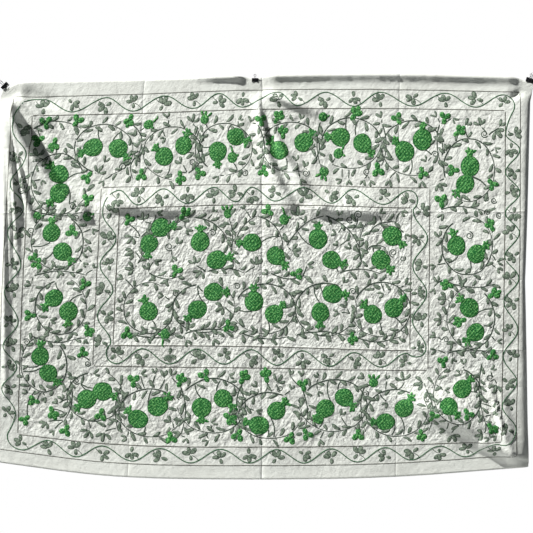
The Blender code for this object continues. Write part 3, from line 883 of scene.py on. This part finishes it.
def vineLoop(name, left, right, top, foot, values):
    width, height = right - left, foot - top
    runs = (
        ("Top", (left, top), (1, 0), width, values["wave"]),
        ("Right", (right, top), (0, 1), height, values["sideWave"]),
        ("Foot", (right, foot), (-1, 0), width, values["wave"]),
        ("Left", (left, foot), (0, -1), height, values["sideWave"]),
    )
    stops, heads, total = [], [], 0.0
    for side, corner, along, length, wave in runs:
        inward = (-along[1], along[0])
        places = bayPlaces(name, side, left, top, length, wave)
        for k, place in enumerate(places):
            way = -1 if len(stops) % 2 == 0 else 1
            stops.append((total + place, way))
            near = places[k + 1] - place if k + 1 < len(places) else place - places[k - 1]
            heads.append((corner[0] + along[0] * place, corner[1] + along[1] * place,
                          inward[0] * way, inward[1] * way, near))
        total += length
    at = np.array([stop[0] for stop in stops])
    ways = np.array([stop[1] for stop in stops], dtype=float)
    at = np.concatenate(([at[-1] - total], at, [at[0] + total]))
    ways = np.concatenate(([ways[-1]], ways, [ways[0]]))
    points = []
    for s in np.linspace(0, total, round(total / 0.007), endpoint=False):
        k = int(np.clip(np.searchsorted(at, s) - 1, 0, len(at) - 2))
        share = (s - at[k]) / (at[k + 1] - at[k])
        swing = ways[k] + (ways[k + 1] - ways[k]) * (0.5 - 0.5 * math.cos(math.pi * share))
        points.append(roundedPlace(s, swing * values["swing"], runs, values["corner"]))
    points.append(points[0])
    return np.array(points), heads


def roundedPlace(s, inward, runs, corner):
    for side, start, along, length, wave in runs:
        if s <= length:
            break
        s -= length
    start, along = np.array(start), np.array(along, dtype=float)
    inn = np.array((-along[1], along[0]))
    if s > length - corner:
        turn = (s - length + corner) / corner * math.pi / 4
        middle = start + along * (length - corner) + inn * corner
        out = along * math.sin(turn) - inn * math.cos(turn)
    elif s < corner:
        turn = (s + corner) / corner * math.pi / 4
        middle = start + (inn + along) * corner
        out = -inn * math.sin(turn) - along * math.cos(turn)
    else:
        return start + along * s + inn * inward
    return middle + out * (corner - inward)


def sprig(work, centre, turn, size, values):
    length, width = values["lobe"]
    for k, angle in enumerate(values["lobeTurns"]):
        way = turn + angle + random.uniform(-0.18, 0.18)
        reach = size * length * (0.50 if k < 3 else 0.42)
        place = (centre[0] + math.cos(way) * reach, centre[1] - math.sin(way) * reach)
        scale = size * random.uniform(0.88, 1.1) * (1 if k < 3 else 0.8)
        patch(work, place, way, length * scale, width * scale, thread=1.57, lift=0.0017, swell=0.25)


def makeVines(values):
    vines, sprigs, stalks = startWork(), startWork(), startWork()
    down, across = lineValues["down"], lineValues["across"]
    for name, k in (("outer", 0), ("inner", 2)):
        own = values[name]
        left, right = (across[k] + across[k + 1]) / 2, (across[-1 - k] + across[-2 - k]) / 2
        top, foot = (down[k] + down[k + 1]) / 2, (down[-1 - k] + down[-2 - k]) / 2
        points, heads = vineLoop(name, left, right, top, foot, own)
        strip(vines, wavering(points, 0.003, 0.09, k + 40), values["width"], lift=0.0019)
        for u, v, inU, inV, half in heads:
            centre = (u - inU * 0.007, v - inV * 0.007)
            turn = random.choice((0.4, 1.2, 2.0, 2.9, -0.5, -1.4, -2.4))
            sprig(sprigs, centre, turn, random.uniform(0.92, 1.12), values)
            outward = (u + inU * own["swing"] * 0.86 + inV * half * 0.30,
                       v + inV * own["swing"] * 0.86 + inU * half * 0.30)
            middle = ((centre[0] + outward[0]) / 2 + inV * 0.006, (centre[1] + outward[1]) / 2 - inU * 0.006)
            strip(stalks, evenly((centre, middle, outward), 0.009), 0.0034, lift=0.0015)
    return [
        endWork(vines, "borderVines", silkMaterials["vineSilk"]),
        endWork(sprigs, "vineSprigs", silkMaterials["greyLeafSilk"]),
        endWork(stalks, "sprigStalks", silkMaterials["stemSilk"]),
    ]


vinePieces = makeVines(vineValues)


# Pomegranates: across, down, and the way the crown points in degrees from the right.
pomegranateColumns = ("across", "down", "faces")
pomegranates = (
    (-63.8, 27.3, 205), (-53.9, 27.7, 315), (-35.8, 30.9, 135), (-28.1, 26.5, 75), (-14.7, 28.9, 270),
    (-7.5, 23.0, 335), (9.5, 28.5, 135), (19.2, 25.3, 45), (33.7, 23.2, 180), (42.4, 25.7, 315),
    (59.0, 28.9, 135), (66.1, 24.2, 90), (84.7, 34.8, 90), (82.8, 41.8, 225), (-77.2, 37.8, 135),
    (-76.8, 45.3, 225), (-80.0, 61.0, 90), (-75.6, 68.5, 315), (-79.0, 86.7, 225), (-73.3, 91.9, 270),
    (-84.7, 109.7, 90), (-81.6, 116.4, 315), (-66.5, 126.7, 225), (-60.2, 123.6, 340), (79.2, 66.1, 105),
    (87.1, 69.3, 40), (84.3, 90.5, 135), (86.7, 100.2, 225), (81.6, 122.4, 50), (75.9, 129.1, 315),
    (-46.3, 134.6, 140), (-38.4, 129.5, 45), (-21.0, 129.9, 270), (-12.5, 126.3, 315), (1.6, 137.0, 165),
    (8.5, 131.1, 45), (27.7, 130.3, 225), (35.2, 125.9, 315), (51.5, 135.6, 180), (58.8, 130.1, 60),
    (-37.0, 59.0, 5), (-41.6, 65.3, 265), (-21.5, 64.5, 90), (-1.2, 64.9, 180), (-15.0, 71.7, 10),
    (8.3, 70.1, 315), (24.8, 63.4, 90), (30.1, 71.7, 340), (53.9, 62.2, 320), (49.5, 71.7, 315),
    (-41.8, 91.9, 110), (-22.6, 91.1, 225), (-16.2, 84.3, 0), (-0.4, 87.9, 90), (7.5, 92.9, 45),
    (25.7, 92.3, 270), (30.5, 84.9, 0), (46.3, 93.1, 135), (54.6, 90.5, 45),
)

fruitValues = {
    "length": 0.081, "width": 0.076,
    "neck": (0.028, 0.028), "petal": (0.0280, 0.0150), "petalTurns": (-1.05, -0.35, 0.35, 1.05),
    "lift": 0.0030,
}


def makePomegranates(rows, values):
    work = startWork()
    places = flatPlace([row[:2] for row in rows])
    for row, place in zip(rows, places):
        fruit = dict(zip(pomegranateColumns, row))
        turn = math.radians(fruit["faces"])
        size = random.uniform(0.95, 1.04)
        uneven = random.uniform(0, 6)

        def body(angle):
            return 1 + 0.018 * math.sin(3 * angle + uneven) + 0.012 * math.sin(5 * angle + 2 * uneven)

        patch(work, place, turn, values["length"] * size, values["width"] * size, sides=30, rings=12,
              lift=values["lift"], outline=body, thread=-turn)
        top = values["length"] / 2 * size
        along = (math.cos(turn), -math.sin(turn))
        neck = (place[0] + along[0] * (top + 0.002), place[1] + along[1] * (top + 0.002))
        patch(work, neck, turn, values["neck"][0], values["neck"][1], sides=8, rings=4, lift=0.0024, thread=-turn)
        base = (place[0] + along[0] * (top + 0.004), place[1] + along[1] * (top + 0.004))
        for petal in values["petalTurns"]:
            way = turn + petal + random.uniform(-0.16, 0.16)
            length = values["petal"][0] * random.uniform(0.78, 1.18)
            tip = (base[0] + math.cos(way) * length * 0.5, base[1] - math.sin(way) * length * 0.5)
            patch(work, tip, way, length, values["petal"][1] * random.uniform(0.8, 1.15), sides=8, rings=4, lift=0.0020,
                  thread=1.2, bend=0.25 * petal * random.uniform(0.3, 1.2) * 0.3)
    return endWork(work, "pomegranates", silkMaterials["greenSilk"])


fruit = makePomegranates(pomegranates, fruitValues)


# Buds: across, down, the way they point, and their kind.
budColumns = ("across", "down", "faces", "kind")
buds = (
    (-82.4, 17.4, 100, "clover"), (-70.1, 16.6, 60, "clover"), (-49.5, 16.6, 250, "clover"),
    (-42.0, 18.2, 30, "drop"), (-19.8, 15.8, 80, "tulip"), (-85.9, 24.2, 200, "clover"),
    (-79.2, 26.1, 260, "clover"), (-8.9, 31.3, 90, "drop"), (-44.7, 38.4, 270, "clover"),
    (-66.1, 39.2, 230, "clover"), (-29.3, 39.2, 280, "clover"), (-21.8, 37.6, 300, "clover"),
    (2.4, 16.6, 100, "clover"), (3.4, 36.8, 260, "clover"), (-65.9, 47.9, 80, "clover"),
    (-85.5, 54.3, 0, "round"), (-65.7, 54.6, 20, "round"), (-71.7, 60.6, 150, "clover"),
    (-49.5, 55.8, 60, "clover"), (-27.7, 53.5, 50, "clover"), (-10.7, 53.1, 100, "tulip"),
    (5.1, 52.3, 140, "clover"), (-86.7, 70.9, 130, "clover"), (9.1, 15.4, 60, "clover"),
    (11.1, 21.4, 90, "clover"), (26.9, 15.2, 10, "round"), (39.6, 13.9, 60, "clover"),
    (56.2, 15.8, 120, "clover"), (75.0, 15.4, 80, "clover"), (80.6, 21.0, 40, "clover"),
    (32.9, 29.7, 50, "drop"), (48.5, 36.4, 280, "clover"), (27.1, 37.2, 250, "tulip"),
    (66.1, 37.6, 290, "clover"), (78.0, 36.4, 180, "clover"), (93.5, 42.0, 310, "clover"),
    (73.3, 48.3, 100, "clover"), (92.7, 58.2, 120, "clover"), (11.5, 55.8, 90, "drop"),
    (-85.5, 73.3, 250, "clover"), (-66.9, 81.2, 60, "clover"), (-88.7, 93.5, 180, "clover"),
    (-65.5, 99.4, 300, "clover"), (-50.3, 100.6, 270, "clover"), (-35.2, 100.8, 250, "drop"),
    (-30.9, 76.0, 60, "clover"), (-10.3, 97.8, 280, "clover"), (-67.9, 108.3, 40, "clover"),
    (-87.9, 127.5, 170, "clover"), (-80.2, 132.3, 290, "clover"), (-91.5, 135.2, 230, "clover"),
    (-75.2, 139.4, 250, "clover"), (-61.0, 133.1, 260, "clover"), (-47.9, 119.2, 90, "clover"),
    (-29.3, 119.2, 70, "clover"), (-19.8, 117.2, 120, "clover"), (-4.4, 118.0, 60, "clover"),
    (4.4, 117.2, 100, "clover"), (-9.9, 134.2, 320, "clover"), (-33.3, 142.2, 280, "clover"),
    (-6.7, 141.0, 250, "clover"), (75.6, 81.6, 170, "clover"), (93.9, 85.1, 30, "clover"),
    (80.6, 95.8, 200, "clover"), (38.4, 102.2, 280, "clover"), (19.0, 120.8, 100, "clover"),
    (46.7, 119.6, 90, "tulip"), (74.0, 111.7, 100, "clover"), (93.5, 109.3, 30, "clover"),
    (83.6, 132.3, 300, "clover"), (93.1, 137.8, 310, "clover"), (13.9, 142.2, 250, "clover"),
    (20.6, 140.6, 300, "clover"), (40.8, 140.8, 270, "clover"), (65.7, 140.8, 280, "clover"),
    (16.6, 77.2, 0, "clover"), (25.3, 134.6, 200, "round"), (70.0, 133.0, 60, "clover"),
)

budValues = {
    "lobe": 0.0255, "long": (0.0360, 0.0225), "round": 0.038, "drop": (0.048, 0.042), "tulip": (0.050, 0.038),
    "lift": 0.0024,
}


def offset(place, turn, reach, side=0.0):
    return (place[0] + math.cos(turn) * reach - math.sin(turn) * side,
            place[1] - math.sin(turn) * reach - math.cos(turn) * side)


def makeBuds(rows, values):
    work = startWork()
    places = flatPlace([row[:2] for row in rows])
    lift = values["lift"]
    for row, place in zip(rows, places):
        bud = dict(zip(budColumns, row))
        turn = math.radians(bud["faces"])
        size = random.uniform(0.92, 1.1)
        lobe = values["lobe"] * size
        if bud["kind"] == "clover":
            for side in (1, -1):
                patch(work, offset(place, turn, 0.30 * lobe, side * 0.44 * lobe), turn + side * 0.6, 1.25 * lobe, lobe,
                      lift=lift, thread=side * 0.6)
            length, width = values["long"]
            patch(work, offset(place, turn, -0.50 * lobe), turn + math.pi, length * size, width * size,
                  lift=lift, thread=1.57, swell=0.2)
            if random.random() < 0.5:
                tip = offset(place, turn, 0.78 * lobe, random.uniform(-0.2, 0.2) * lobe)
                patch(work, tip, turn, 1.1 * lobe, 0.8 * lobe, lift=lift, thread=1.2)
        elif bud["kind"] == "round":
            patch(work, place, turn, values["round"] * size, values["round"] * size, sides=14, rings=6, lift=lift)
            patch(work, offset(place, turn, 0.55 * values["round"]), turn + 0.6, 0.016, 0.008, lift=lift)
        elif bud["kind"] == "drop":
            length, width = values["drop"]
            patch(work, place, turn, length * size, width * size, sides=14, rings=6, lift=lift)
            patch(work, offset(place, turn, 0.62 * length, 0.001), turn + 0.35, 0.026, 0.011, lift=lift)
            patch(work, offset(place, turn, 0.92 * length, 0.006), turn + 0.9, 0.018, 0.007, lift=lift)
            patch(work, offset(place, turn, 0.18 * length, -0.5 * width), turn - 1.2, 0.014, 0.012, lift=lift)
        else:
            length, width = values["tulip"]
            patch(work, offset(place, turn, -0.08 * length), turn, 0.82 * length, width * size,
                  sides=14, rings=6, lift=lift)
            # petals: along, to the side, turned by, length and width
            for along, side, lean, long, wide in (
                (0.42, 0.0, 0.0, 0.45, 0.40), (0.40, 0.40, 0.45, 0.5, 0.36), (0.36, -0.46, -0.7, 0.6, 0.30),
            ):
                patch(work, offset(place, turn, along * length, side * width), turn + lean, long * length, wide * width,
                      lift=lift)
    return endWork(work, "greenBuds", silkMaterials["greenSilk"])


budPiece = makeBuds(buds, budValues)


# Curling stems round each pair of fruit: across, down, half width, half height, where the stem
# starts and how far it runs, both in degrees.
ringColumns = ("across", "down", "wide", "high", "starts", "sweep")
rings = (
    (-59.8, 27.9, 11.4, 9.6, 250, -330), (-32.3, 29.1, 11.4, 9.9, 300, 330),
    (-11.9, 27.6, 10.4, 9.8, 230, -320), (14.3, 26.9, 11.2, 9.6, 320, 330),
    (37.9, 25.3, 11.6, 9.7, 200, -330), (62.2, 27.3, 11.9, 10.5, 340, 330),
    (84.3, 35.8, 9.9, 12.0, 200, -330), (-77.4, 41.4, 10.4, 11.8, 20, 330),
    (-77.6, 64.6, 10.0, 10.8, 60, -330), (-76.6, 90.3, 9.9, 10.6, 100, 330),
    (-83.2, 113.1, 8.9, 10.6, 50, -330), (-63.6, 125.7, 10.8, 9.7, 100, 330),
    (-41.8, 91.0, 9.6, 9.6, 20, -320), (-20.4, 90.6, 12.0, 9.4, 100, 330),
    (4.0, 90.6, 11.6, 9.6, 160, -320), (27.5, 91.0, 11.6, 10.2, 60, 330),
    (49.9, 91.0, 11.2, 10.4, 160, -330), (-41.6, 131.9, 12.0, 9.4, 30, 320),
    (-16.6, 129.0, 12.8, 10.6, 150, -330), (5.5, 133.0, 12.0, 9.0, 60, 330),
    (31.3, 128.8, 12.6, 10.2, 150, -330), (55.4, 131.9, 11.6, 9.2, 60, 330),
    (79.8, 125.2, 9.3, 10.7, 80, -330), (83.2, 66.4, 9.8, 11.0, 120, 330),
    (85.0, 94.8, 9.2, 11.6, 60, -330),
)

# Branches: two ends, how far the middle bows to the left of the way it runs, all in centimetres.
branches = (
    (-49.5, 17.5, -46.0, 30.0, 3.0), (-46.0, 30.0, -48.0, 40.0, -2.0), (-22.0, 20.0, -21.0, 38.0, -2.0),
    (1.0, 18.0, 2.5, 36.0, 2.0), (26.0, 17.0, 26.5, 36.0, -2.0), (50.0, 18.0, 49.5, 35.0, 2.0),
    (73.0, 18.0, 74.5, 36.0, -2.0), (-88.0, 20.0, -68.0, 20.0, 3.0), (-88.0, 52.0, -66.0, 52.5, -2.0),
    (-87.0, 78.0, -66.0, 78.0, 2.0), (-88.0, 101.5, -70.0, 102.5, -2.0), (-73.0, 119.0, -76.0, 136.0, 2.0),
    (-52.5, 121.0, -54.0, 140.0, -2.0), (-29.5, 121.0, -29.5, 141.0, 2.0), (-5.0, 120.0, -6.0, 140.0, -2.0),
    (18.5, 122.0, 18.8, 141.0, 2.0), (43.5, 120.0, 44.0, 140.0, -2.0), (67.0, 122.0, 68.5, 140.0, 2.0),
    (89.5, 112.0, 91.0, 137.0, -2.0), (73.0, 52.0, 93.0, 53.5, 2.0), (74.0, 79.5, 95.0, 81.0, -2.0),
    (75.5, 108.5, 95.0, 109.5, 2.0), (-46.5, 73.5, -40.5, 56.5, -1.5), (-45.0, 63.0, -33.0, 60.5, 2.5),
    (-33.5, 60.5, -24.0, 54.8, 1.5), (-24.0, 54.8, -9.3, 69.5, 4.0), (-9.3, 69.5, -9.0, 76.0, 0.5),
    (-9.5, 68.0, -10.5, 54.0, -1.0), (-8.0, 66.0, 1.0, 54.5, 2.0), (1.0, 54.5, 10.5, 70.0, 4.0),
    (12.5, 66.5, 27.5, 54.2, 2.5), (27.5, 54.2, 42.0, 73.0, 4.0), (42.0, 73.0, 44.0, 56.5, 2.0),
    (44.5, 62.0, 56.0, 57.0, 2.5), (43.0, 69.0, 52.0, 67.5, 2.5), (38.0, 60.0, 40.5, 54.5, -1.0),
    (-42.0, 76.5, -28.0, 77.5, -2.0), (-19.0, 76.5, -4.0, 77.0, 2.0), (6.0, 76.5, 20.0, 77.5, -2.0),
    (33.0, 77.0, 50.0, 77.5, 2.0), (-49.5, 100.0, -30.5, 100.5, -2.0), (-28.0, 101.0, -8.0, 100.5, 2.0),
    (-6.0, 100.0, 14.0, 101.5, -2.0), (16.0, 101.5, 37.0, 102.0, 2.0), (39.0, 102.0, 58.0, 101.5, -2.0),
)

# Small curls at the ends of shoots: across, down, size and turn.
curls = (
    (-33.7, 66.5, 3.4, 40), (-16.6, 61.0, 2.8, 200), (40.6, 53.9, 3.4, 120), (37.2, 55.8, 2.8, 30),
    (54.3, 68.9, 3.4, 80), (58.1, 71.1, 2.4, 300), (94.0, 48.3, 2.6, 0), (91.0, 47.7, 2.6, 180),
    (84.3, 62.1, 3.2, 260), (96.0, 54.1, 2.6, 40), (91.4, 53.0, 2.6, 140), (-87.9, 60.3, 3.0, 90),
    (-91.9, 44.2, 3.0, 30), (-71.5, 50.6, 3.0, 200), (-70.0, 55.0, 2.6, 60), (-52.0, 35.0, 3.0, 120),
    (-24.5, 33.0, 2.8, 30), (-4.0, 37.5, 2.8, 250), (20.0, 37.5, 3.0, 310), (44.0, 37.0, 2.8, 60),
    (71.0, 30.0, 2.8, 150), (90.5, 22.0, 3.0, 20), (-47.0, 84.0, 2.6, 140), (-31.0, 84.5, 2.8, 40),
    (-7.0, 82.0, 2.6, 200), (15.5, 85.0, 2.6, 60), (38.5, 84.0, 2.8, 130), (58.5, 99.0, 2.8, 300),
    (-90.0, 104.0, 2.8, 200), (-70.5, 119.5, 2.8, 20), (-29.5, 125.5, 2.8, 90), (18.5, 127.0, 2.8, 100),
    (43.5, 124.5, 2.8, 260), (67.5, 126.0, 2.8, 40), (92.5, 118.0, 3.0, 10), (75.0, 103.0, 2.6, 160),
    (-66.0, 112.5, 2.6, 330), (10.0, 122.5, 2.6, 80),
)

leafValues = {
    "stem": 0.0066, "shoot": 0.0060, "leaf": (0.0430, 0.0160), "spacing": 0.046, "spread": 0.70, "lift": 0.0020,
    "step": 0.0085, "waver": 0.003, "waverSize": 0.06,
    "fill": {"cell": 0.004, "reach": 0.085, "slim": 0.40, "shortest": 0.008},
    "rooms": {"fruit": 0.041, "crown": 0.020, "crownReach": 0.052, "bud": 0.026},  # what the filling keeps clear
    "passes": (
        {"tries": 5000, "room": 0.0220, "leaf": (0.040, 0.050), "sides": 2},
        {"tries": 9000, "room": 0.0125, "leaf": (0.028, 0.038), "sides": 1},
    ),
}


def leaf(work, place, way, length, width, bend):
    patch(work, place, way, length, width, sides=8, lift=leafValues["lift"], thread=0.5, swell=0.28, bend=bend)


def leavesAlong(work, path, values, start):
    lengths = np.concatenate(([0], np.cumsum(np.linalg.norm(np.diff(path, axis=0), axis=1))))
    at, side = start, random.choice((-1, 1))
    while at < lengths[-1] - 0.008:
        u, v = np.interp(at, lengths, path[:, 0]), np.interp(at, lengths, path[:, 1])
        u2, v2 = np.interp(at + 0.004, lengths, path[:, 0]), np.interp(at + 0.004, lengths, path[:, 1])
        run = math.atan2(-(v2 - v), u2 - u)
        way = run + side * (values["spread"] + random.uniform(-0.25, 0.3))
        length = values["leaf"][0] * random.uniform(0.72, 1.15)
        width = values["leaf"][1] * random.uniform(0.8, 1.2)
        place = offset((u, v), way, 0.5 * length + 0.002)
        leaf(work, place, way, length, width, side * random.uniform(0.0, 0.13))
        side = -side
        at += values["spacing"] * random.uniform(0.42, 0.72)


def bowed(start, end, bow, steps=20):
    start, end = np.array(start, dtype=float), np.array(end, dtype=float)
    along = end - start
    left = np.array((along[1], -along[0])) / max(np.linalg.norm(along), 1e-6)
    bend = (start + end) / 2 + 2 * bow * left
    t = np.linspace(0, 1, steps + 1)[:, None]
    return (1 - t) ** 2 * start + 2 * t * (1 - t) * bend + t**2 * end


def markCovered(covered, points, reach, cell):
    span = int(reach / cell) + 1
    steps = range(-span, span + 1)
    offsets = [(i, j) for i in steps for j in steps if math.hypot(i, j) * cell <= reach]
    for u, v in points:
        a, b = int(round(v / cell)), int(round(u / cell))
        for i, j in offsets:
            if 0 <= a + i < covered.shape[0] and 0 <= b + j < covered.shape[1]:
                covered[a + i, b + j] = True


def fillGaps(stems, leaves, nodes, values):
    fill, rooms = values["fill"], values["rooms"]
    cell = fill["cell"]
    covered = np.zeros((int(clothValues["height"] / cell) + 2, int(clothValues["width"] / cell) + 2), dtype=bool)
    for work in (stems, leaves):
        flat = np.concatenate(work["places"])
        taken = np.stack((flat[:, 0], -flat[:, 1]), axis=1)
        markCovered(covered, np.unique(np.round(taken / cell) * cell, axis=0), 0.001, cell)
    for row, place in zip(pomegranates, flatPlace([r[:2] for r in pomegranates])):
        markCovered(covered, [place], rooms["fruit"], cell)
        crown = offset(place, math.radians(row[2]), rooms["crownReach"])
        markCovered(covered, [crown], rooms["crown"], cell)
    markCovered(covered, flatPlace([r[:2] for r in buds]), rooms["bud"], cell)
    down, across = lineValues["down"], lineValues["across"]
    inner = (across[3], across[4], down[3], down[4])
    hole = (across[2], across[5], down[2], down[5])
    outer = (across[1], across[6], down[1], down[6])
    made = 0
    turns = [own for own in values["passes"] for attempt in range(own["tries"])]
    for own in turns:
        u, v = random.uniform(outer[0], outer[1]), random.uniform(outer[2], outer[3])
        room = own["room"]
        inside = inner[0] + room < u < inner[1] - room and inner[2] + room < v < inner[3] - room
        hollow = hole[0] - room < u < hole[1] + room and hole[2] - room < v < hole[3] + room
        nearEdge = min(u - outer[0], outer[1] - u, v - outer[2], outer[3] - v) < room
        if nearEdge or (hollow and not inside):
            continue
        a, b, span = int(round(v / cell)), int(round(u / cell)), int(room / cell) + 1
        window = covered[max(0, a - span):a + span + 1, max(0, b - span):b + span + 1]
        if window.any():
            continue
        centre = np.array((u, v))
        away = centre - nodes
        far = np.linalg.norm(away, axis=1)
        near = nodes[np.argmin(far)]
        if far.min() > fill["reach"]:
            continue
        way = math.atan2(-(centre - near)[1], (centre - near)[0]) + random.choice((-1, 1)) * random.uniform(0.35, 0.95)
        length = random.uniform(*own["leaf"])
        width = length * fill["slim"] * random.uniform(0.85, 1.15)
        leaf(leaves, centre, way, length, width, random.uniform(-0.14, 0.14))
        for side in (-1, 1)[:own["sides"]]:
            turned = way + side * random.uniform(0.75, 1.05)
            foot = offset(centre, way, -0.40 * length)
            tip = offset(foot, turned, 0.44 * length)
            leaf(leaves, tip, turned, 0.8 * length, 0.9 * width, -side * random.uniform(0.05, 0.16))
            markCovered(covered, [tip, offset(foot, turned, 0.7 * length)], width * 0.5, cell)
        base = offset(centre, way, -0.48 * length)
        gap = np.linalg.norm(near - base)
        if gap > fill["shortest"]:
            path = evenly(bowed(near, base, random.uniform(-0.1, 0.1) * gap, steps=8), values["step"])
            strip(stems, path, values["shoot"], lift=0.0013)
            markCovered(covered, path, 0.003, cell)
        middles = [offset(centre, way, length * share) for share in (-0.35, -0.1, 0.15, 0.35)]
        markCovered(covered, middles, width * 0.55, cell)
        made += 1
    print("filling leaves:", made)


def ringPath(row, steps=60):
    ring = dict(zip(ringColumns, row))
    angles = np.radians(ring["starts"] + np.linspace(0, ring["sweep"], steps))
    swell = 1 + 0.10 * np.linspace(0, 1, steps) ** 3
    across = ring["across"] + ring["wide"] * swell * np.cos(angles)
    return np.stack((across, ring["down"] - ring["high"] * swell * np.sin(angles)), axis=1)


def makeStems(values):
    stems, leaves = startWork(), startWork()
    nodes = []
    runs = [(ringPath(row), row[0], 0.4, 0.02) for row in rings]
    runs += [(bowed(row[:2], row[2:4], row[4]), row[0], 0.35, 0.012) for row in branches]
    for seen, seed, taper, start in runs:
        path = wavering(evenly(flatPlace(seen), values["step"]), values["waver"], values["waverSize"], seed)
        strip(stems, path, values["stem"], lift=0.0017, taper=taper)
        leavesAlong(leaves, path, values, start)
        nodes.extend(path[::3])
    for across, down, size, turn in curls:
        t = np.linspace(0, 1, 40)
        angles = math.radians(turn) + t * 3.4 * math.pi
        reach = size * 0.5 * (1 - 0.82 * t)
        seen = np.stack((across + reach * np.cos(angles), down + reach * np.sin(angles)), axis=1)
        path = evenly(flatPlace(seen), 0.005)
        strip(stems, path, values["shoot"], lift=0.0014, taper=0.3)
        nodes.append(path[0])
    nodes = np.array(nodes)
    for rows, reach in ((pomegranates, 0.040), (buds, 0.020)):
        for row, place in zip(rows, flatPlace([r[:2] for r in rows])):
            turn = math.radians(row[2]) + math.pi
            foot = np.array(offset(place, turn, reach * 0.9))
            off = np.linalg.norm(nodes - foot, axis=1)
            near = nodes[np.argmin(off + 0.3 * np.abs(off - 0.02))]
            path = evenly(bowed(foot, near, 0.12 * np.linalg.norm(near - foot)), values["step"])
            strip(stems, path, values["shoot"], lift=0.0014)
    fillGaps(stems, leaves, nodes, values)
    return [
        endWork(stems, "curlingStems", silkMaterials["stemSilk"]),
        endWork(leaves, "smallLeaves", silkMaterials["greyLeafSilk"]),
    ]


stemPieces = makeStems(leafValues)


# The clips keep their solids and get a worn black finish.
clipMaterials = {name: makeClipFinish(name, values, clipWear) for name, values in clipFinishes.items()}
for name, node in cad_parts.items():
    if name != "cloth":
        for slot in node.material_slots:
            slot.material = clipMaterials["blackSteel" if name.endswith("body") else "blackWire"]
print("clips finished")

embroidery = [lines, *vinePieces, fruit, budPiece, *stemPieces]
for piece in (cloth, *embroidery):
    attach(piece, "root")
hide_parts("cloth")
